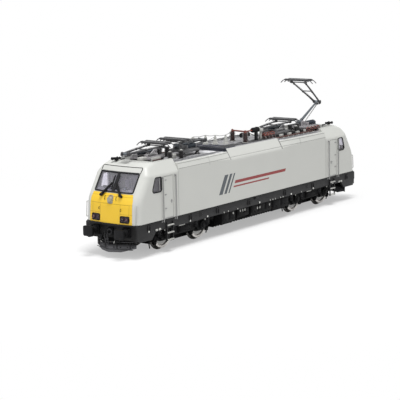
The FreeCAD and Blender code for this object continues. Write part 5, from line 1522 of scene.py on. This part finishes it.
def make_finishes(paint):
    """All the finishes, from the add-on's colours and the fixed ones here."""
    grey, yellow, frame, roof = tuple(paint.body), tuple(paint.mask), tuple(paint.frame), tuple(paint.roof)
    ink = [(stripes, tuple(paint.stripe)), (red_line, tuple(paint.line)), (hood_ends, (0.022, 0.024, 0.035)),
           (cab_roofs, scaled(grey, 0.85))]
    sprayed("body_paint", grey, 0.40, scaled(grey, 0.35), body_seams, ink)
    sprayed("front_paint", yellow, 0.34, scaled(yellow, 0.45), front_seams)
    clear_moulding("window_clear", (0.92, 0.91, 0.95))
    # the windshields' lilac grey haze, a tenth of their surface, is a painted reflection that lightens the panes
    clear_moulding("screen_painted_reflection", (0.76, 0.75, 0.82), clear=0.90)
    clear_moulding("lens_clear", (0.55, 0.50, 0.55), 0.04)
    blue, brown = (0.028, 0.030, 0.043), (0.030, 0.012, 0.010)
    matt("hood_grey", scaled(roof, 1.5), 0.5, 0.10, 0.1, marks=[(hood_front, blue), (hood_ends, blue)])
    matt("deck_grey", scaled(roof, 1.85), 0.6, 0.10, 0.1, marks=[(pale_plates, scaled(roof, 4.0))])
    # painted shade and light on the ploughs: far darker than the frame above, paler towards the toe
    matt("plough_shade_and_light", scaled(frame, 0.17), 0.65, 0.2, shine=0.05, marks=[(plough_lit_toe, scaled(frame, 6.5))])
    matt("grille_dark", scaled(roof, 0.45), 0.55)
    # the buffer beams' fronts carry painted shade
    matt("frame_dark", scaled(frame, 0.8), 0.5, 0.2, 0.06, marks=[(beam_face_shade, scaled(frame, 0.2))])
    matt("bogie_dark", scaled(frame, 0.45), 0.55, 0.25, 0.0, 0.08)
    matt("lip_grey", scaled(frame, 4.0), 0.5, 0.2, 0.1)
    matt("wheel_dark", (0.46, 0.46, 0.45), 0.45, 0.2)
    matt("lamp_dark", (0.05, 0.03, 0.04), 0.3, 0.2)
    matt("lamp_pale", (0.24, 0.21, 0.20), 0.3, 0.2, shine=0.5)
    matt("black_moulding", (0.009, 0.009, 0.010), 0.5, shine=0.12)
    matt("brow_line", (0.02, 0.02, 0.02), 0.6)
    matt("rubber", (0.012, 0.012, 0.013), 0.62)
    matt("rail_grey", (0.30, 0.30, 0.30), 0.42)
    matt("base_grey", (0.34, 0.33, 0.34), 0.45, 0.2, 0.2)
    matt("base_dark", (0.15, 0.15, 0.155), 0.45, 0.2, 0.2)
    matt("arm_blue", (0.13, 0.145, 0.16), 0.42, 0.15)
    matt("bellows_blue", (0.035, 0.042, 0.052), 0.5, 0.2)
    matt("insulator_dark", (0.016, 0.015, 0.016), 0.4, 0.2, shine=0.5)
    matt("pale_moulding", (0.42, 0.42, 0.40), 0.5)
    matt("tread_grey", (0.42, 0.42, 0.40), 0.5)
    matt("white_paint", (0.75, 0.75, 0.72), 0.45, 0.06)
    matt("arm_dark", tuple(paint.arms), 0.4, 0.2)
    matt("carbon", (0.15, 0.15, 0.155), 0.35, 0.25)
    matt("spring_dark", (0.024, 0.024, 0.026), 0.4)
    matt("cab_lining", (0.52, 0.50, 0.56))
    matt("seat_cloth", (0.30, 0.30, 0.36), 0.85)
    matt("screen_dark", (0.02, 0.03, 0.035), 0.15, shine=0.5)
    metal("cast_weight", (0.30, 0.30, 0.31), 0.5, 1.2)
    sprayed("bar_red", tuple(paint.bars), 0.35)
    sprayed("cable_brown", (0.075, 0.030, 0.026), 0.5)
    glazed("post_brown", brown)
    insulator_set("post_mixed", brown, (0.50, 0.50, 0.48))
    lamp_block("lamp_block", (0.045, 0.028, 0.035), (0.36, 0.35, 0.28))
    glazed("lens_red", (0.062, 0.014, 0.017), 0.1)
    for number in NUMBERS:
        axle = PIVOT["wheelset_%d_spin" % number][0]
        turned_wheel("wheel_%d" % number, axle, tuple(paint.tyre), scaled(frame, 0.8))


def dress(finish, *nodes):
    """Gives a finish to carried-over nodes."""
    for node in nodes:
        materials = NODES[node].data.materials
        materials.clear()
        materials.append(bpy.data.materials[finish])


def dress_nodes():
    """Gives every carried-over node the first finish of its slot, and then some of them one of their own."""
    for node, slot in SLOT_OF.items():
        dress(FINISHES_OF_SLOT[slot].split()[0], node)
    dress("post_mixed", "roof_insulators")
    dress("plough_shade_and_light", "snow_ploughs")
    dress("screen_painted_reflection", "windshields")
    dress("insulator_dark", "panto_insulators")
    dress("pale_moulding", "front_handrails")
    dress("bogie_dark", "buffers", "underfloor_boxes", "transformer_tank", "couplings", "bogie_frame_front",
          "bogie_frame_rear", "gearbox_front", "gearbox_rear")
    for number in NUMBERS:
        dress(base_finish(number), "panto_base_%d" % number)
        dress("arm_blue", "lower_arm_%d" % number)
        dress("rail_grey", "guide_rod_%d" % number)
        dress("wheel_%d" % number, "wheels_%d" % number, "axle_%d" % number)


def soften(node, width):
    """A copy of a node, its doubles merged, its flat faces joined and its edges bevelled, takes its place."""
    mesh = NODES[node].data.copy()
    work = bmesh.new()
    work.from_mesh(mesh)
    bmesh.ops.remove_doubles(work, verts=work.verts, dist=0.001 * MM)
    bmesh.ops.dissolve_limit(work, angle_limit=math.radians(1.0), verts=work.verts, edges=work.edges)
    work.to_mesh(mesh)
    work.free()
    mesh.shade_smooth()
    obj = new_object(node + "_soft", mesh)
    bevel = obj.modifiers.new("edges", "BEVEL")
    bevel.width = width * MM
    bevel.segments = 2
    bevel.limit_method = "ANGLE"
    bevel.angle_limit = math.radians(35.0)
    bevel.harden_normals = True
    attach(obj, BODY_OF[node])
    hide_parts(node)


# ---- add-on --------------------------------------------------------
def colour_setting(name, description, default):
    """A colour that the user can change."""
    return FloatVectorProperty(name=name, description=description, subtype="COLOR", default=default,
                               min=0.0, max=1.0)


class LocoPaint(bpy.types.PropertyGroup):
    body: colour_setting("Body", "Colour of the body's lacquer", (0.50, 0.505, 0.48))
    mask: colour_setting("Front", "Colour of the front panels", (0.76, 0.49, 0.030))
    frame: colour_setting("Underframe", "Colour of the underframe and bogies", (0.016, 0.016, 0.017))
    roof: colour_setting("Roof", "Colour of the hood between the pantograph decks", (0.155, 0.155, 0.16))
    arms: colour_setting("Pantographs", "Colour of the pantographs' frames and arms", (0.055, 0.055, 0.058))
    bars: colour_setting("Busbars", "Colour of the roof's busbars and cables", (0.16, 0.045, 0.034))
    tyre: colour_setting("Tyres", "Colour of the wheels' bare tyres", (0.62, 0.60, 0.58))
    stripe: colour_setting("Bars", "Colour of the slanted bars on the side walls", (0.075, 0.085, 0.095))
    line: colour_setting("Line", "Colour of the long line on the side walls", (0.24, 0.035, 0.035))


def angle_setting(name, description, degrees):
    """An angle that the user can change. It is held in radians and shown in degrees."""
    return FloatProperty(name=name, description=description, subtype="ANGLE", default=math.radians(degrees))


class LocoStage(bpy.types.PropertyGroup):
    heading: angle_setting("Heading", "Direction the camera looks along, from +X", 37.383)
    look_down: angle_setting("Look down", "How far the camera looks down", 9.983)
    roll: angle_setting("Roll", "Roll of the camera", -1.155)
    lens: FloatProperty(name="Lens", description="Focal length in millimetres", default=121.41, unit="CAMERA")
    distance: FloatProperty(name="Distance", description="From the camera to the aim point", default=0.747961,
                            unit="LENGTH")
    offset: FloatVectorProperty(name="Offset", description="Of the locomotive to the right and upwards",
                                size=2, default=(0.018315, -0.012021), unit="LENGTH")
    aim_height: FloatProperty(name="Aim height", description="Height of the aim point", default=0.001,
                              unit="LENGTH")
    sky: FloatProperty(name="Sky", description="Strength of the light from all round", default=0.42)
    key: FloatProperty(name="Key", description="Power of the large lamp", default=17.0, unit="POWER")
    fill: FloatProperty(name="Fill", description="Power of the lamp at the front", default=2.0, unit="POWER")


class LOCO_OT_stage(bpy.types.Operator):
    """Adds the floor, the lights and the camera"""
    bl_idname = "loco.stage"
    bl_label = "Stage"

    def execute(self, context):
        settings = context.scene.loco_stage
        context.scene.view_settings.view_transform = "Standard"
        add_camera(settings)
        add_floor()
        add_world(settings.sky)
        add_light("key", (-0.22, -0.28, 1.20), (0, 0, 0.02), 0.6, settings.key)
        add_light("fill", (-0.95, 0.15, 0.45), (0, 0, 0.02), 0.8, settings.fill)
        return {"FINISHED"}


class LOCO_OT_finish(bpy.types.Operator):
    """Makes the finishes, dresses the carried-over pieces and softens the edges of the block-like ones"""
    bl_idname = "loco.finish"
    bl_label = "Finishes"

    def execute(self, context):
        make_finishes(context.scene.loco_paint)
        dress_nodes()
        for node, width in (("buffers", 0.12), ("underfloor_boxes", 0.15), ("transformer_tank", 0.2),
                            ("snow_ploughs", 0.12), ("bogie_frame_front", 0.15), ("bogie_frame_rear", 0.15),
                            ("chassis_frame", 0.12)):
            soften(node, width)
        return {"FINISHED"}


class LOCO_OT_front(bpy.types.Operator):
    """Adds window gaskets, lamps, grips and wipers"""
    bl_idname = "loco.front"
    bl_label = "Front and windows"

    def execute(self, context):
        screen_frames()
        side_window_frames()
        lamp_details()
        front_handles()
        wiper_details()
        return {"FINISHED"}


class LOCO_OT_doors(bpy.types.Operator):
    """Adds hinges, handles and the feet of the rails at the cab doors"""
    bl_idname = "loco.doors"
    bl_label = "Doors"

    def execute(self, context):
        door_details()
        rail_feet()
        return {"FINISHED"}


class LOCO_OT_beams(bpy.types.Operator):
    """Adds the details of the buffers, couplings and ploughs"""
    bl_idname = "loco.beams"
    bl_label = "Buffer beams"

    def execute(self, context):
        buffer_details()
        coupling_details()
        plough_details()
        return {"FINISHED"}


class LOCO_OT_underframe(bpy.types.Operator):
    """Adds what is fixed to the sole bars, the steps and the boxes under the floor"""
    bl_idname = "loco.underframe"
    bl_label = "Underframe"

    def execute(self, context):
        sole_bar_details()
        step_details()
        tank_details()
        return {"FINISHED"}


class LOCO_OT_bogies(bpy.types.Operator):
    """Adds springs, dampers, covers and pipes to the bogies and rings to the wheels"""
    bl_idname = "loco.bogies"
    bl_label = "Bogies and wheels"

    def execute(self, context):
        bogie_details("front", -BOGIE_X)
        bogie_details("rear", BOGIE_X)
        for number in NUMBERS:
            wheel_details(number)
        return {"FINISHED"}


class LOCO_OT_roof(bpy.types.Operator):
    """Adds grilles, hatches, walkways, horns, wires, cables, switches and posts to the roof"""
    bl_idname = "loco.roof"
    bl_label = "Roof"

    def execute(self, context):
        hood_details()
        deck_details()
        horn_details()
        conductor_details()
        cable_runs()
        switch_details()
        switchgear_details()
        return {"FINISHED"}


class LOCO_OT_pantographs(bpy.types.Operator):
    """Adds springs, bellows, collars, straps, carbon strips and cables to the four pantographs"""
    bl_idname = "loco.pantographs"
    bl_label = "Pantographs"

    def execute(self, context):
        for number in NUMBERS:
            panto = Pantograph(number)
            base_details(panto)
            lower_arm_details(panto)
            upper_arm_details(panto)
            head_details(panto)
        return {"FINISHED"}


class LOCO_OT_cabs(bpy.types.Operator):
    """Adds seats, desk panels, levers and screens to the cabs"""
    bl_idname = "loco.cabs"
    bl_label = "Cabs"

    def execute(self, context):
        cab_details()
        return {"FINISHED"}


class LOCO_PT_panel(bpy.types.Panel):
    """Lists the settings and the steps in order"""
    bl_label = "Locomotive"
    bl_space_type = "VIEW_3D"
    bl_region_type = "UI"
    bl_category = "Locomotive"

    def draw(self, context):
        for group in (context.scene.loco_paint, context.scene.loco_stage):
            for name in group.__annotations__:
                self.layout.prop(group, name)
        for step in STEPS:
            self.layout.operator(step.bl_idname)


GROUPS = {"loco_paint": LocoPaint, "loco_stage": LocoStage}
STEPS = (LOCO_OT_stage, LOCO_OT_finish, LOCO_OT_front, LOCO_OT_doors, LOCO_OT_beams, LOCO_OT_underframe,
         LOCO_OT_bogies, LOCO_OT_roof, LOCO_OT_pantographs, LOCO_OT_cabs)


def register():
    for cls in (*GROUPS.values(), *STEPS, LOCO_PT_panel):
        bpy.utils.register_class(cls)
    for name, group in GROUPS.items():
        setattr(bpy.types.Scene, name, PointerProperty(type=group))


def unregister():
    for name in GROUPS:
        delattr(bpy.types.Scene, name)
    for cls in reversed((*GROUPS.values(), *STEPS, LOCO_PT_panel)):
        bpy.utils.unregister_class(cls)


def main():
    """Registers the add-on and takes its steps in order."""
    register()
    for step in STEPS:
        area, name = step.bl_idname.split(".")
        getattr(getattr(bpy.ops, area), name)()


if __name__ == "__main__":
    main()
